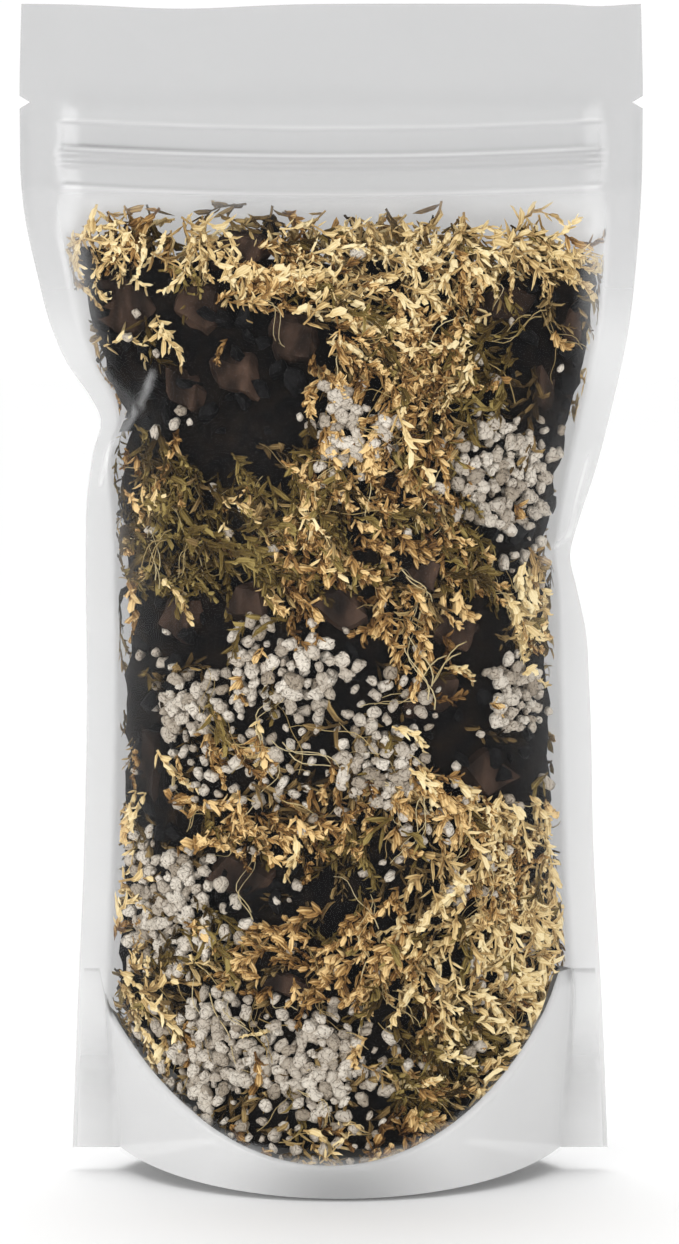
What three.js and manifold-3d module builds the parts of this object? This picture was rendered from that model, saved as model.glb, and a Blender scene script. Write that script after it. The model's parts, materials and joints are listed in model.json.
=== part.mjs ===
// A resealable stand-up pouch, clear in front and milky behind, filled with dried moss, perlite and bark.
// Millimetres, +Z up. The front faces -Y. The origin is on the surface it stands on, under its middle.
import * as THREE from "three";
import { mergeVertices } from "three/addons/utils/BufferGeometryUtils.js";
import { ConvexGeometry } from "three/addons/geometries/ConvexGeometry.js";
import Module from "manifold-3d";

// The pouch, cut flat
const FLAT_WIDTH = 150;
const SIDE_SEAL = 7.2;
const TOP_Z = 285;
const FILM = 0.3;
const GUSSET_FOLD_Z = 49;
const CORNER_LIFT = 5;

// The zip: two tapes that press together, and how far the middle of their line sags
const ZIP_BELOW_TOP = 35.5;
const ZIP_TAPE_HEIGHT = 14.5;
const ZIP_LENGTH = 130;
const ZIP_SAG = 2;
const TAPE = 0.35;

// Tear notches
const NOTCH_BELOW_TOP = 23.5;
const NOTCH_DEPTH = 2.5;
const NOTCH_HEIGHT = 3;

// Gaps: between the sealed films, between pieces, and between the contents and the film
const SEAL_GAP = 0.2;
const PIECE_GAP = 0.3;
const FILM_GAP = 1.2;
const CLEAR_OF_SEAL = 4;

// The bottom seal's arc, as an ellipse on the front film
const ARC_MIDDLE_Z = 60;
const ARC_HALF_WIDTH = 53;
const ARC_HEIGHT = 51.4;

// The contents: the moss bed's core, its sprigs, and perlite
const CORE_DEPTH = 5;
const CORE_ROUGHNESS = 3.4;
const CORE_FOOT_Z = 1;
const CORE_TOP_Z = 226;
const SPRIG_LENGTH = 27;
const GRANULE_RADIUS = 2.4;
const GRANULE_SPACING = 5.1;

// First seed of each kind of piece
const BED_SEED = 11;
const BARK_SEED = 100;
const PERLITE_SEED = 200;
const TUFT_SEED = 300;

const INNER_WIDTH = FLAT_WIDTH - 2 * SIDE_SEAL;
const FRONT = -1;
const BACK = 1;

// The two upright edges of the filled pouch, seen from the front: height and place across.
// They pull in where the contents push the films apart, most of all at the two pinched waists.
const LEFT_EDGE = [
  [0, -64], [40, -62.5], [80, -60.7], [120, -59.7], [150, -59.8], [168, -59.2], [178, -57.6],
  [185, -55.9], [191, -58.6], [198, -63.6], [207, -67.6], [220, -71], [236, -74.2], [246, -75],
  [264, -75], [285, -74.4],
];
const RIGHT_EDGE = [
  [0, 68.3], [40, 66.6], [80, 64.3], [120, 63], [134, 62], [144, 59.8], [152, 58.1], [160, 60],
  [172, 63.9], [188, 68], [207, 72], [225, 73.9], [246, 75], [264, 75], [285, 74.4],
];

// Bark and charcoal on each side. The numbers are the place across the flat film from its middle,
// the height it sits at, and the piece's own width and height.
const FRONT_BARK = [
  [-57, 212, 26, 27], [-35, 213, 18, 17], [-46, 193, 18, 16], [-60, 182, 14, 12],
  [-29, 197, 17, 15], [-12, 206, 18, 18], [-24, 226, 24, 12], [62, 208, 12, 18],
  [43, 213, 24, 12], [55, 193, 12, 18], [61, 157, 16, 20], [26, 150, 14, 13],
  [33, 136, 22, 14], [2, 142, 20, 15], [-22, 143, 18, 14], [-44, 138, 20, 17],
  [-57, 102, 18, 30], [24, 121, 24, 15], [42, 101, 26, 17], [-26, 77, 28, 15],
  [-13, 51, 22, 10],
];
const BACK_BARK = [
  [-46, 204, 22, 22], [-8, 198, 22, 20], [40, 174, 20, 24], [-40, 150, 24, 18],
  [10, 128, 24, 16], [-50, 94, 18, 24], [32, 76, 26, 16], [-12, 46, 24, 14], [48, 216, 18, 16],
];

// Perlite clusters on each side, in the same terms
const FRONT_PERLITE = [
  [-1, 183, 19, 17], [44, 174, 26, 24], [-14, 126, 30, 17], [-42, 117, 18, 12], [11, 104, 21, 17],
  [55, 120, 14, 17], [-47, 67, 22, 25], [-35, 34, 23, 21], [-7, 32, 27, 20],
];
const BACK_PERLITE = [
  [20, 218, 24, 14], [-18, 172, 22, 22], [46, 118, 20, 24], [8, 26, 28, 16],
];

// Tufts of another colour than the bed's, in the same terms, with the tuft's colour
const FRONT_TUFTS = [
  ["olive", -36, 163, 38, 23], ["straw", 38, 228, 36, 13], ["rust", 4, 225, 28, 15],
  ["straw", 34, 68, 32, 26],
];
const BACK_TUFTS = [
  ["straw", -20, 226, 34, 14], ["olive", 6, 153, 34, 22],
];

const COLOURS = {
  film: { color: 0xe9ebec, roughness: 0.12, metalness: 0, transparent: true, opacity: 0.25 },
  milky: { color: 0xe4e5e6, roughness: 0.3, metalness: 0, transparent: true, opacity: 0.75 },
  zip: { color: 0xdfe2e3, roughness: 0.25, metalness: 0, transparent: true, opacity: 0.6 },
  bed: { color: 0xa8813f, roughness: 0.95, metalness: 0 },
  straw: { color: 0xc9ad62, roughness: 0.95, metalness: 0 },
  olive: { color: 0x8a7a3c, roughness: 0.95, metalness: 0 },
  rust: { color: 0xa5672c, roughness: 0.95, metalness: 0 },
  perlite: { color: 0xcfc8bb, roughness: 0.9, metalness: 0 },
  bark: { color: 0x33231c, roughness: 0.85, metalness: 0 },
};

const wasm = await Module();
wasm.setup();

// Small helpers
const vector = (x, y, z) => new THREE.Vector3(x, y, z);

// An even step from 0 at one value to 1 at another, which may lie below it
function smooth(zeroAt, oneAt, value) {
  if (oneAt > zeroAt) return THREE.MathUtils.smoothstep(value, zeroAt, oneAt);
  return 1 - THREE.MathUtils.smoothstep(value, oneAt, zeroAt);
}

function randomFrom(seed) {
  let state = seed * 2654435761;
  return () => {
    state = (state + 0x6d2b79f5) | 0;
    let mixed = Math.imul(state ^ (state >>> 15), 1 | state);
    mixed = (mixed + Math.imul(mixed ^ (mixed >>> 7), 61 | mixed)) ^ mixed;
    return ((mixed ^ (mixed >>> 14)) >>> 0) / 4294967296;
  };
}

const pick = (random, [least, most]) => least + (most - least) * random();

// A smooth curve of place against height through hand-chosen points.
function placeAt(points, height) {
  const last = points.length - 1;
  const z = THREE.MathUtils.clamp(height, points[0][0], points[last][0]);
  const next = Math.max(1, points.findIndex(([at]) => at >= z));
  const slope = (a, b) => (points[b][1] - points[a][1]) / (points[b][0] - points[a][0]);
  const tangent = (k) => slope(Math.max(0, k - 1), Math.min(last, k + 1));
  const [z0, x0] = points[next - 1];
  const [z1, x1] = points[next];
  const span = z1 - z0;
  const t = (z - z0) / span;
  return (
    (2 * t ** 3 - 3 * t ** 2 + 1) * x0 +
    (t ** 3 - 2 * t ** 2 + t) * span * tangent(next - 1) +
    (3 * t ** 2 - 2 * t ** 3) * x1 +
    (t ** 3 - t ** 2) * span * tangent(next)
  );
}

// Solids and geometries
function solidOf(geometry) {
  const bare = geometry.clone();
  bare.deleteAttribute("normal");
  bare.deleteAttribute("uv");
  const merged = mergeVertices(bare, 1e-4);
  const solid = new wasm.Manifold(
    new wasm.Mesh({
      numProp: 3,
      vertProperties: new Float32Array(merged.attributes.position.array),
      triVerts: new Uint32Array(merged.index.array),
    }),
  );
  if (solid.volume() > 0) return solid;
  for (let i = 0; i < merged.index.count; i += 3) {
    const [b, c] = [merged.index.getX(i + 1), merged.index.getX(i + 2)];
    merged.index.setX(i + 1, c);
    merged.index.setX(i + 2, b);
  }
  return solidOf(merged);
}

function geometryOf(solid) {
  const mesh = solid.getMesh();
  const position = new Float32Array(mesh.numVert * 3);
  for (let i = 0; i < mesh.numVert; i += 1) {
    const start = i * mesh.numProp;
    position.set(mesh.vertProperties.subarray(start, start + 3), i * 3);
  }
  return new THREE.BufferGeometry()
    .setAttribute("position", new THREE.BufferAttribute(position, 3))
    .setIndex(new THREE.BufferAttribute(new Uint32Array(mesh.triVerts), 1));
}

function geometryFrom(points, index) {
  return new THREE.BufferGeometry().setFromPoints(points).setIndex(index);
}

const joined = (solids) => solids.reduce((sum, solid) => sum.add(solid));

function largestOf(solid) {
  return solid.decompose().reduce((a, b) => (b.volume() > a.volume() ? b : a));
}

// A thin closed sheet between two faces, each given as a function of a point's column and row
function sheet(columns, rows, outer, inner) {
  const points = [];
  const index = [];
  const layer = (columns + 1) * (rows + 1);
  for (const face of [outer, inner]) {
    for (let j = 0; j <= rows; j += 1) {
      for (let i = 0; i <= columns; i += 1) points.push(face(i, j));
    }
  }
  const at = (side, i, j) => side * layer + j * (columns + 1) + i;
  const quad = (a, b, c, d) => index.push(a, b, c, a, c, d);
  for (let j = 0; j < rows; j += 1) {
    for (let i = 0; i < columns; i += 1) {
      const [a, b, c, d] = [at(0, i, j), at(0, i + 1, j), at(0, i + 1, j + 1), at(0, i, j + 1)];
      quad(a, b, c, d);
      index.push(a + layer, c + layer, b + layer, a + layer, d + layer, c + layer);
    }
  }
  for (let i = 0; i < columns; i += 1) {
    quad(at(0, i + 1, 0), at(0, i, 0), at(1, i, 0), at(1, i + 1, 0));
    quad(at(0, i, rows), at(0, i + 1, rows), at(1, i + 1, rows), at(1, i, rows));
  }
  for (let j = 0; j < rows; j += 1) {
    quad(at(0, 0, j), at(0, 0, j + 1), at(1, 0, j + 1), at(1, 0, j));
    quad(at(0, columns, j + 1), at(0, columns, j), at(1, columns, j), at(1, columns, j + 1));
  }
  return geometryFrom(points, index);
}

// The film's shape. Film doesn't stretch, so a row that is pulled in bulges into an arc of its full
// width. The side seals widen over the gusset, and the bulge ends under the zip.
const SEAL_WIDENING = 4;
const SEAL_WIDENS_BELOW_Z = 50;
const MOST_BULGE = 37;
const LEAST_BULGE = 0.05;
const BULGE_FULL_Z = 229;
const BULGE_ENDS_Z = 243;

function row(z) {
  const seal = SIDE_SEAL + SEAL_WIDENING * smooth(SEAL_WIDENS_BELOW_Z, 0, z);
  const left = Math.max(-FLAT_WIDTH / 2, placeAt(LEFT_EDGE, z)) + seal;
  const right = Math.min(FLAT_WIDTH / 2, placeAt(RIGHT_EDGE, z)) - seal;
  const chord = right - left;
  const depth = Math.max(
    LEAST_BULGE,
    Math.min(arcDepth(chord), MOST_BULGE) * smooth(BULGE_ENDS_Z, BULGE_FULL_Z, z),
  );
  const radius = (chord ** 2 / 4 + depth ** 2) / (2 * depth);
  const spread = 2 * Math.atan2(2 * depth, chord);
  return { seal, middle: (left + right) / 2, depth, radius, spread };
}

// The depth of an arc over a chord whose length is the film's width, found by halving its angle's range
function arcDepth(chord) {
  const ratio = INNER_WIDTH / Math.min(chord, INNER_WIDTH - 0.01);
  let low = 0.001;
  let high = 1.5;
  while (high - low > 1e-6) {
    const half = (low + high) / 2;
    if (half / Math.sin(half) < ratio) low = half;
    else high = half;
  }
  return (chord / 2) * Math.tan(low / 2);
}

const arcHeight = (r, angle) => r.radius * Math.cos(angle) - (r.radius - r.depth);

// Below the fold the side seals hold the gusset's leaves too.
const LEAF_ROOM = 0.75;
const LEAF_ROOM_ENDS_Z = 60;
const sealHalfGap = (z) => SEAL_GAP / 2 + LEAF_ROOM * smooth(LEAF_ROOM_ENDS_Z, GUSSET_FOLD_Z, z);

// How far the header films stand apart at the mouth, and further down to hold the zip
const MOUTH_ROOM = 0.6;
const ZIP_ROOM = 1.1;
const zipRoom = (z) => MOUTH_ROOM + ZIP_ROOM * smooth(266, 259, z);

// A point at a depth under the inner face of a film, q across the flat film from its middle.
// Beside the seals, where the films meet in a wedge, it keeps clear of the other film too.
const PAST_MIDDLE = 0.8;

function inside(q, z, depth, side) {
  const r = row(z);
  const limit = INNER_WIDTH / 2 - CLEAR_OF_SEAL;
  const angle = (THREE.MathUtils.clamp(q, -limit, limit) / (INNER_WIDTH / 2)) * r.spread;
  const across = (r.radius - depth) * Math.sin(angle);
  const room = Math.max(0, arcHeight(r, Math.asin(across / r.radius)) - 2 * FILM_GAP);
  const y = Math.max(-PAST_MIDDLE * room, arcHeight(r, angle) - depth * Math.cos(angle));
  return vector(r.middle + across, side * y, z);
}

// Columns of a panel: the two seals, a narrow step beside each, and equal steps round the bulge
const PANEL_STEPS = 10;
const STEP_BESIDE_SEAL = 0.97;
const PANEL_COLUMNS = PANEL_STEPS + 4;

// Heights of a panel's rows, closest at the waists and where the bulge ends under the zip
const ROW_HEIGHTS = [
  0, 12, 24, 36, 48, 65, 85, 105, 125, 140, 152, 163, 174, 185, 194, 203, 213, 223, 233, 243, 256, 269,
  TOP_Z,
];
const PANEL_ROWS = ROW_HEIGHTS.length - 1;

// Heights between which the films part for the zip, and up to which the base's corners lift
const FILMS_PART_Z = 215;
const LIFT_ENDS_Z = 70;

function columnPlace(i) {
  if (i <= 1) return -1;
  if (i >= PANEL_COLUMNS - 1) return 1;
  return STEP_BESIDE_SEAL * (-1 + (2 * (i - 2)) / PANEL_STEPS);
}

function panelPoint(i, j, thickness) {
  const height = ROW_HEIGHTS[j];
  const r = row(height);
  const angle = columnPlace(i) * r.spread;
  const rise = arcHeight(r, angle);
  const parted = i >= 2 && i <= PANEL_COLUMNS - 2;
  const open = parted ? zipRoom(height) * smooth(FILMS_PART_Z, BULGE_ENDS_Z, height) : 0;
  const edge = i === 0 || i === PANEL_COLUMNS ? Math.sign(i - 1) * r.seal : 0;
  const turn = i === 1 || i === PANEL_COLUMNS - 1 ? angle / 2 : angle;
  const lean = edge ? 0 : turn;
  const lift = CORNER_LIFT * (1 - Math.min(1, rise / r.depth)) * smooth(LIFT_ENDS_Z, 0, height);
  return vector(
    r.middle + r.radius * Math.sin(angle) + edge + thickness * Math.sin(lean),
    -(sealHalfGap(height) + open + rise + thickness * Math.cos(lean)),
    height + lift,
  );
}

// A place on the front panel's inner face at a height between its rows, moved inwards
function onPanel(i, height, inwards) {
  const above = Math.max(1, ROW_HEIGHTS.findIndex((at) => at >= height));
  const [low, high] = [ROW_HEIGHTS[above - 1], ROW_HEIGHTS[above]];
  const share = (height - low) / (high - low);
  return panelPoint(i, above - 1, -inwards).lerp(panelPoint(i, above, -inwards), share);
}

// A wedge that is carried on past the film's edge and through both its faces
function notchCut(side) {
  const overhang = 1;
  const through = 4;
  const mouth = (NOTCH_HEIGHT / 2) * (1 + overhang / NOTCH_DEPTH);
  const outline = new THREE.Shape([
    new THREE.Vector2(-NOTCH_DEPTH, 0),
    new THREE.Vector2(overhang, -mouth),
    new THREE.Vector2(overhang, mouth),
  ]);
  const cut = new THREE.ExtrudeGeometry(outline, { depth: through, bevelEnabled: false });
  cut.translate(0, 0, -through / 2);
  cut.rotateX(Math.PI / 2);
  if (side < 0) cut.rotateZ(Math.PI);
  cut.translate(side * (FLAT_WIDTH / 2), 0, TOP_Z - NOTCH_BELOW_TOP);
  return solidOf(cut);
}

function frontPanel() {
  const film = solidOf(
    sheet(
      PANEL_COLUMNS,
      PANEL_ROWS,
      (i, j) => panelPoint(i, j, FILM),
      (i, j) => panelPoint(i, j, 0),
    ),
  );
  return film.subtract(notchCut(-1)).subtract(notchCut(1));
}

// The gusset: two leaves sealed to the panels below the arc, and a floor between them.
// It has the panels' columns, so that its facets lie along theirs.
const GUSSET_COLUMNS = PANEL_COLUMNS - 2;
const LEAF_ROWS = 3;
const FLOOR_STEPS = 6;
const GUSSET_MIDDLE = (LEFT_EDGE[0][1] + RIGHT_EDGE[0][1]) / 2;
const BELLY_HALF_LENGTH = 22;
const BELLY_SHARE = 0.35;
const LEAF_FOOT = 0.6;

const fromMiddle = (i) => Math.abs(panelPoint(i + 1, 0, 0).x - GUSSET_MIDDLE);

function sealArc(offset) {
  const share = Math.min(1, offset / ARC_HALF_WIDTH);
  return Math.min(GUSSET_FOLD_Z, ARC_MIDDLE_Z - ARC_HEIGHT * Math.sqrt(1 - share ** 2));
}

// The middle line of the floor: flat on the ground, then rising to the fold at each side
function floorLine(offset) {
  const rise = smooth(BELLY_HALF_LENGTH, ARC_HALF_WIDTH, offset);
  return Math.min(sealArc(offset), GUSSET_FOLD_Z * rise);
}

// How far up its rise the floor is at a place across, from 0 on the belly to 1 at the seal's arc
function floorRise(across) {
  return Math.max(0, (Math.abs(across) - BELLY_SHARE) / (1 - BELLY_SHARE)) ** 2;
}

function leafPoint(i, j, inwards) {
  const height = THREE.MathUtils.lerp(LEAF_FOOT, sealArc(fromMiddle(i)) + FILM, j / LEAF_ROWS);
  return onPanel(i + 1, height, inwards);
}

function floorPoint(i, j, upwards) {
  const across = (2 * j) / FLOOR_STEPS - 1;
  const [arc, line] = [sealArc(fromMiddle(i)), floorLine(fromMiddle(i))];
  const side = onPanel(i + 1, arc, PIECE_GAP + FILM / 2);
  return vector(side.x, -across * side.y, line + (arc - line) * floorRise(across) + upwards);
}

// The same solid on the other side of the pouch's middle plane
function mirrored(solid) {
  return solidOf(geometryOf(solid).scale(1, -1, 1));
}

function bottomGusset() {
  const leaf = solidOf(
    sheet(
      GUSSET_COLUMNS,
      LEAF_ROWS,
      (i, j) => leafPoint(i, j, PIECE_GAP),
      (i, j) => leafPoint(i, j, PIECE_GAP + FILM),
    ),
  );
  const floor = solidOf(
    sheet(
      GUSSET_COLUMNS,
      FLOOR_STEPS,
      (i, j) => floorPoint(i, j, FILM),
      (i, j) => floorPoint(i, j, 0),
    ),
  );
  return joined([leaf, mirrored(leaf), floor]);
}

// Everything under the floor, for cutting the contents free of it
const FLOOR_CLEARANCE = 0.7;
const CUTTER_OVERHANG = 5;

function underFloor() {
  const top = (i, j) => {
    const at = floorPoint(i, THREE.MathUtils.clamp(j - 1, 0, FLOOR_STEPS), FILM + FLOOR_CLEARANCE);
    if (j === 0) at.add(vector(0, -CUTTER_OVERHANG, CUTTER_OVERHANG));
    if (j === FLOOR_STEPS + 2) at.add(vector(0, CUTTER_OVERHANG, CUTTER_OVERHANG));
    return at;
  };
  const bottom = (i, j) => top(i, j).setZ(-CUTTER_OVERHANG);
  return solidOf(sheet(GUSSET_COLUMNS, FLOOR_STEPS + 2, top, bottom));
}

// The zip: a tape with a rib on the front film and a tape with two jaws on the back film
const ZIP_STEPS = 8;

function alongZip(outline) {
  const shape = new THREE.Shape(outline.map(([y, z]) => new THREE.Vector2(y, z)));
  const swept = { depth: ZIP_LENGTH, steps: ZIP_STEPS, bevelEnabled: false };
  const bar = new THREE.ExtrudeGeometry(shape, swept);
  const position = bar.attributes.position;
  for (let i = 0; i < position.count; i += 1) {
    const [y, z, along] = [position.getX(i), position.getY(i), position.getZ(i) - ZIP_LENGTH / 2];
    const sag = ZIP_SAG * (1 - (2 * along / ZIP_LENGTH) ** 2);
    position.setXYZ(i, along, y, TOP_Z - ZIP_BELOW_TOP + z - sag);
  }
  return bar;
}

// The zip's profile: how far each tape's outer face is from the middle plane, and the rib and jaws
const TAPE_FACE = 1.35;
const RIB_HALF = 0.45;
const RIB_END = 0.1;
const HEAD_HALF = 0.8;
const HEAD_TIP = 0.45;
const JAW_INSIDE = 1.2;
const JAW_OUTSIDE = 1.75;
const JAW_TIP = -0.45;
const HALF_TAPE = ZIP_TAPE_HEIGHT / 2;

function zipMale() {
  const inner = -(TAPE_FACE - TAPE);
  return alongZip([
    [-TAPE_FACE, -HALF_TAPE], [inner, -HALF_TAPE], [inner, -RIB_HALF], [RIB_END, -RIB_HALF],
    [RIB_END, -HEAD_HALF], [HEAD_TIP, 0], [RIB_END, HEAD_HALF], [RIB_END, RIB_HALF],
    [inner, RIB_HALF], [inner, HALF_TAPE], [-TAPE_FACE, HALF_TAPE],
  ]);
}

function zipFemale() {
  const inner = TAPE_FACE - TAPE;
  const jaw = (sign) => [
    [inner, sign * JAW_OUTSIDE], [JAW_TIP, sign * JAW_OUTSIDE],
    [JAW_TIP, sign * JAW_INSIDE], [inner, sign * JAW_INSIDE],
  ];
  return alongZip([
    [TAPE_FACE, -HALF_TAPE], [TAPE_FACE, HALF_TAPE], [inner, HALF_TAPE], ...jaw(1),
    ...jaw(-1).reverse(), [inner, -HALF_TAPE],
  ]);
}

// A chunk of bark or charcoal: the hull of three jittered rings under the film, the middle one widest.
// Grown, it is the room that the chunk takes up with its clearance.
const CHIP_RINGS = [
  { corners: 4, size: 0.7 },
  { corners: 6, size: 1 },
  { corners: 4, size: 0.7 },
];
const CHIP_THICKNESS = [8, 12];
const CHIP_TILT = [-0.35, 0.35];
const CHIP_SKIN = [1.6, 3];
const CHIP_REACH = [0.88, 1];
const CHIP_CORNER_SHIFT = [0, 0.4];

function barkChip([q, z, width, height], side, seed, grow) {
  const random = randomFrom(seed);
  const points = [];
  const tilt = pick(random, CHIP_TILT);
  const step = pick(random, CHIP_THICKNESS) / (CHIP_RINGS.length - 1);
  CHIP_RINGS.forEach(({ corners, size }, ring) => {
    for (let k = 0; k < corners; k += 1) {
      const angle = ((k + pick(random, CHIP_CORNER_SHIFT) + ring / 2) * 2 * Math.PI) / corners;
      const reach = size * pick(random, CHIP_REACH);
      const a = reach * Math.cos(angle) * (width / 2 + grow);
      const b = reach * Math.sin(angle) * (height / 2 + grow);
      const depth = pick(random, CHIP_SKIN) + step * ring + (ring - 1) * grow;
      const across = a * Math.cos(tilt) - b * Math.sin(tilt);
      const up = a * Math.sin(tilt) + b * Math.cos(tilt);
      points.push(inside(q + across, z + up, depth, side));
    }
  });
  return solidOf(new ConvexGeometry(points));
}

// A many-sided pillow under the film round a place on it, between two depths
const PAD_TOP = 5.2;
const PAD_BOTTOM = 8;
const PILLOW_CORNERS = 8;

function pillow([q, z, width, height], side, grow, top, bottom) {
  const points = [];
  const spare = 1 / Math.cos(Math.PI / PILLOW_CORNERS);
  for (let k = 0; k < PILLOW_CORNERS; k += 1) {
    const angle = (k * 2 * Math.PI) / PILLOW_CORNERS;
    const a = Math.cos(angle) * (width / 2 + grow) * spare;
    const b = Math.sin(angle) * (height / 2 + grow) * spare;
    points.push(inside(q + a, z + b, top, side), inside(q + a, z + b, bottom, side));
  }
  return solidOf(new ConvexGeometry(points));
}

// The room that a cluster or tuft takes up, with its clearance
function roomFor(place, side) {
  return pillow(place, side, PIECE_GAP, FILM_GAP - 1, PAD_BOTTOM + PIECE_GAP);
}

// Perlite: knobbly granules in close rows on a small pad that holds them together
const GRANULE_ROW_SPACING = GRANULE_SPACING * Math.sin(Math.PI / 3);
const GRANULE_SHIFT = [-0.4, 0.4];
const GRANULE_SIZE = [0.85, 1.05];
const GRANULE_GAP = FILM_GAP + 0.3;

function perliteCluster(place, side, seed) {
  const [q, z, width, height] = place;
  const random = randomFrom(seed);
  const pieces = [pillow(place, side, -GRANULE_RADIUS, PAD_TOP, PAD_BOTTOM)];
  const rows = Math.ceil(height / GRANULE_ROW_SPACING / 2);
  const columns = Math.ceil(width / GRANULE_SPACING / 2);
  for (let j = -rows; j <= rows; j += 1) {
    for (let i = -columns; i <= columns; i += 1) {
      const a = (i + (j % 2) / 2) * GRANULE_SPACING + pick(random, GRANULE_SHIFT);
      const b = j * GRANULE_ROW_SPACING + pick(random, GRANULE_SHIFT);
      const radius = GRANULE_RADIUS * pick(random, GRANULE_SIZE);
      const [reachA, reachB] = [width / 2 - radius, height / 2 - radius];
      if ((a / reachA) ** 2 + (b / reachB) ** 2 > 1) continue;
      const centre = inside(q + a, z + b, radius + GRANULE_GAP, side);
      pieces.push(granule(centre, radius, random));
    }
  }
  return joined(pieces);
}

// A granule: the hull of a cube's corners, pushed about and turned
const CUBE = [0, 1, 2, 3, 4, 5, 6, 7].map((k) => [(k & 1) - 0.5, ((k >> 1) & 1) - 0.5, (k >> 2) - 0.5]);
const CORNER_SHIFT = [-0.175, 0.175];
const GRANULE_TURN = [0, 3];

function granule(centre, radius, random) {
  const turns = [0, 1, 2].map(() => pick(random, GRANULE_TURN));
  const corners = CUBE.map((corner) => {
    const point = vector(...corner.map((value) => value + pick(random, CORNER_SHIFT)));
    point.setLength(radius * pick(random, GRANULE_SIZE));
    return point.applyEuler(new THREE.Euler(...turns)).add(centre);
  });
  return solidOf(new ConvexGeometry(corners));
}

// A moss sprig: a three-sided stem whose leaf tips stand out in steps, lying along the film
const LEAF_STATIONS = [
  { at: -0.24, wide: 0.85, high: 0.8 },
  { at: -0.04, wide: 0.4, high: 0.4 },
  { at: 0.16, wide: 1, high: 1 },
];
const LEAF_REACH = [4.6, 6.2];
const LEAF_RISE = 2.3;
const LEAF_SHIFT = [-0.03, 0.03];
const SPRIG_AXIS_DEPTH = 4;
const SPRIG_BEND = [-0.015, 0.015];
const SPRIG_TIP_DEPTH = [3, 5.5];
const SPRIG_FOOT_DEPTH = 6.5;
const LEAF_EDGE_DEPTH = 5.2;

function mossSprig(q, z, heading, length, side, random) {
  const bend = pick(random, SPRIG_BEND);
  const tipDepth = pick(random, SPRIG_TIP_DEPTH);
  const leafReach = pick(random, LEAF_REACH);
  const place = (at, sideways, depth) => {
    const along = at * length;
    const curved = sideways + bend * along * along;
    const a = Math.cos(heading) * along - Math.sin(heading) * curved;
    const b = Math.sin(heading) * along + Math.cos(heading) * curved;
    return inside(q + a, z + b, Math.max(FILM_GAP, depth), side);
  };
  const points = [place(-0.5, 0, SPRIG_FOOT_DEPTH)];
  for (const { at, wide, high } of LEAF_STATIONS) {
    const reach = leafReach * wide;
    const shift = pick(random, LEAF_SHIFT);
    points.push(
      place(at + shift, 0, SPRIG_AXIS_DEPTH - LEAF_RISE * high),
      place(at + shift, -reach, LEAF_EDGE_DEPTH),
      place(at - shift, reach, LEAF_EDGE_DEPTH),
    );
  }
  points.push(place(0.5, 0, tipDepth));
  const index = [];
  const last = points.length - 1;
  for (let k = 0; k < 3; k += 1) {
    const next = (k + 1) % 3;
    index.push(0, 1 + next, 1 + k);
    index.push(last, last - 3 + k, last - 3 + next);
    for (let ring = 0; ring < LEAF_STATIONS.length - 1; ring += 1) {
      const [a, b] = [1 + 3 * ring + k, 1 + 3 * ring + next];
      index.push(a, b, b + 3, a, b + 3, a + 3);
    }
  }
  return solidOf(geometryFrom(points, index));
}

// A tuft: a cap of leaf tips and hollows, and a few sprigs that stand out of it, kept to its own room
const TUFT_RINGS = 3;
const TUFT_SPOKES = 11;
const TUFT_SPRIGS = 3;
const TUFT_SPRIG_LENGTH = 19;
const TUFT_PEAK_DEPTH = 2.2;
const TUFT_DEPTH = [1.2, 5.2];
const TUFT_REACH = [0.9, 1];
const TUFT_UNDERSIDE_REACH = 0.9;

function tuftCap([q, z, width, height], side, random) {
  const points = [inside(q, z, TUFT_PEAK_DEPTH, side)];
  const index = [];
  for (let ring = 1; ring <= TUFT_RINGS + 1; ring += 1) {
    const under = ring > TUFT_RINGS;
    for (let k = 0; k < TUFT_SPOKES; k += 1) {
      const angle = ((k + (ring % 2) / 2) * 2 * Math.PI) / TUFT_SPOKES;
      const reach = under ? TUFT_UNDERSIDE_REACH : (ring / TUFT_RINGS) * pick(random, TUFT_REACH);
      const depth = under ? PAD_BOTTOM : pick(random, TUFT_DEPTH);
      const a = Math.cos(angle) * reach * (width / 2);
      const b = Math.sin(angle) * reach * (height / 2);
      points.push(inside(q + a, z + b, depth, side));
    }
  }
  const at = (ring, k) => 1 + (ring - 1) * TUFT_SPOKES + ((k + TUFT_SPOKES) % TUFT_SPOKES);
  points.push(inside(q, z, PAD_BOTTOM, side));
  for (let k = 0; k < TUFT_SPOKES; k += 1) {
    index.push(0, at(1, k), at(1, k + 1));
    index.push(points.length - 1, at(TUFT_RINGS + 1, k + 1), at(TUFT_RINGS + 1, k));
    for (let ring = 1; ring <= TUFT_RINGS; ring += 1) {
      const lean = ring % 2;
      const [a, b, c, d] = [at(ring, k), at(ring, k + 1), at(ring + 1, k), at(ring + 1, k + 1)];
      index.push(...(lean ? [a, c, d, a, d, b] : [a, c, b, b, c, d]));
    }
  }
  return solidOf(geometryFrom(points, index));
}

function mossTuft(place, side, seed) {
  const [q, z, width, height] = place;
  const random = randomFrom(seed);
  const pieces = [tuftCap(place, side, random)];
  for (let k = 0; k < TUFT_SPRIGS; k += 1) {
    const turn = (k + random()) * (Math.PI / TUFT_SPRIGS);
    const a = pick(random, [-width / 4, width / 4]);
    const b = pick(random, [-height / 4, height / 4]);
    pieces.push(mossSprig(q + a, z + b, turn, TUFT_SPRIG_LENGTH, side, random));
  }
  return joined(pieces).intersect(pillow(place, side, 0, FILM_GAP / 2, PAD_BOTTOM));
}

// The bed's core: the space inside the films, its surface pushed in and out to leaf tips and hollows
const CORE_ARC_STEPS = 16;
const CORE_LEVELS = 27;
const CORE_SHIFT = [-0.2, 0.2];
const CORE_EDGE_HALF = 0.5;

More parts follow.
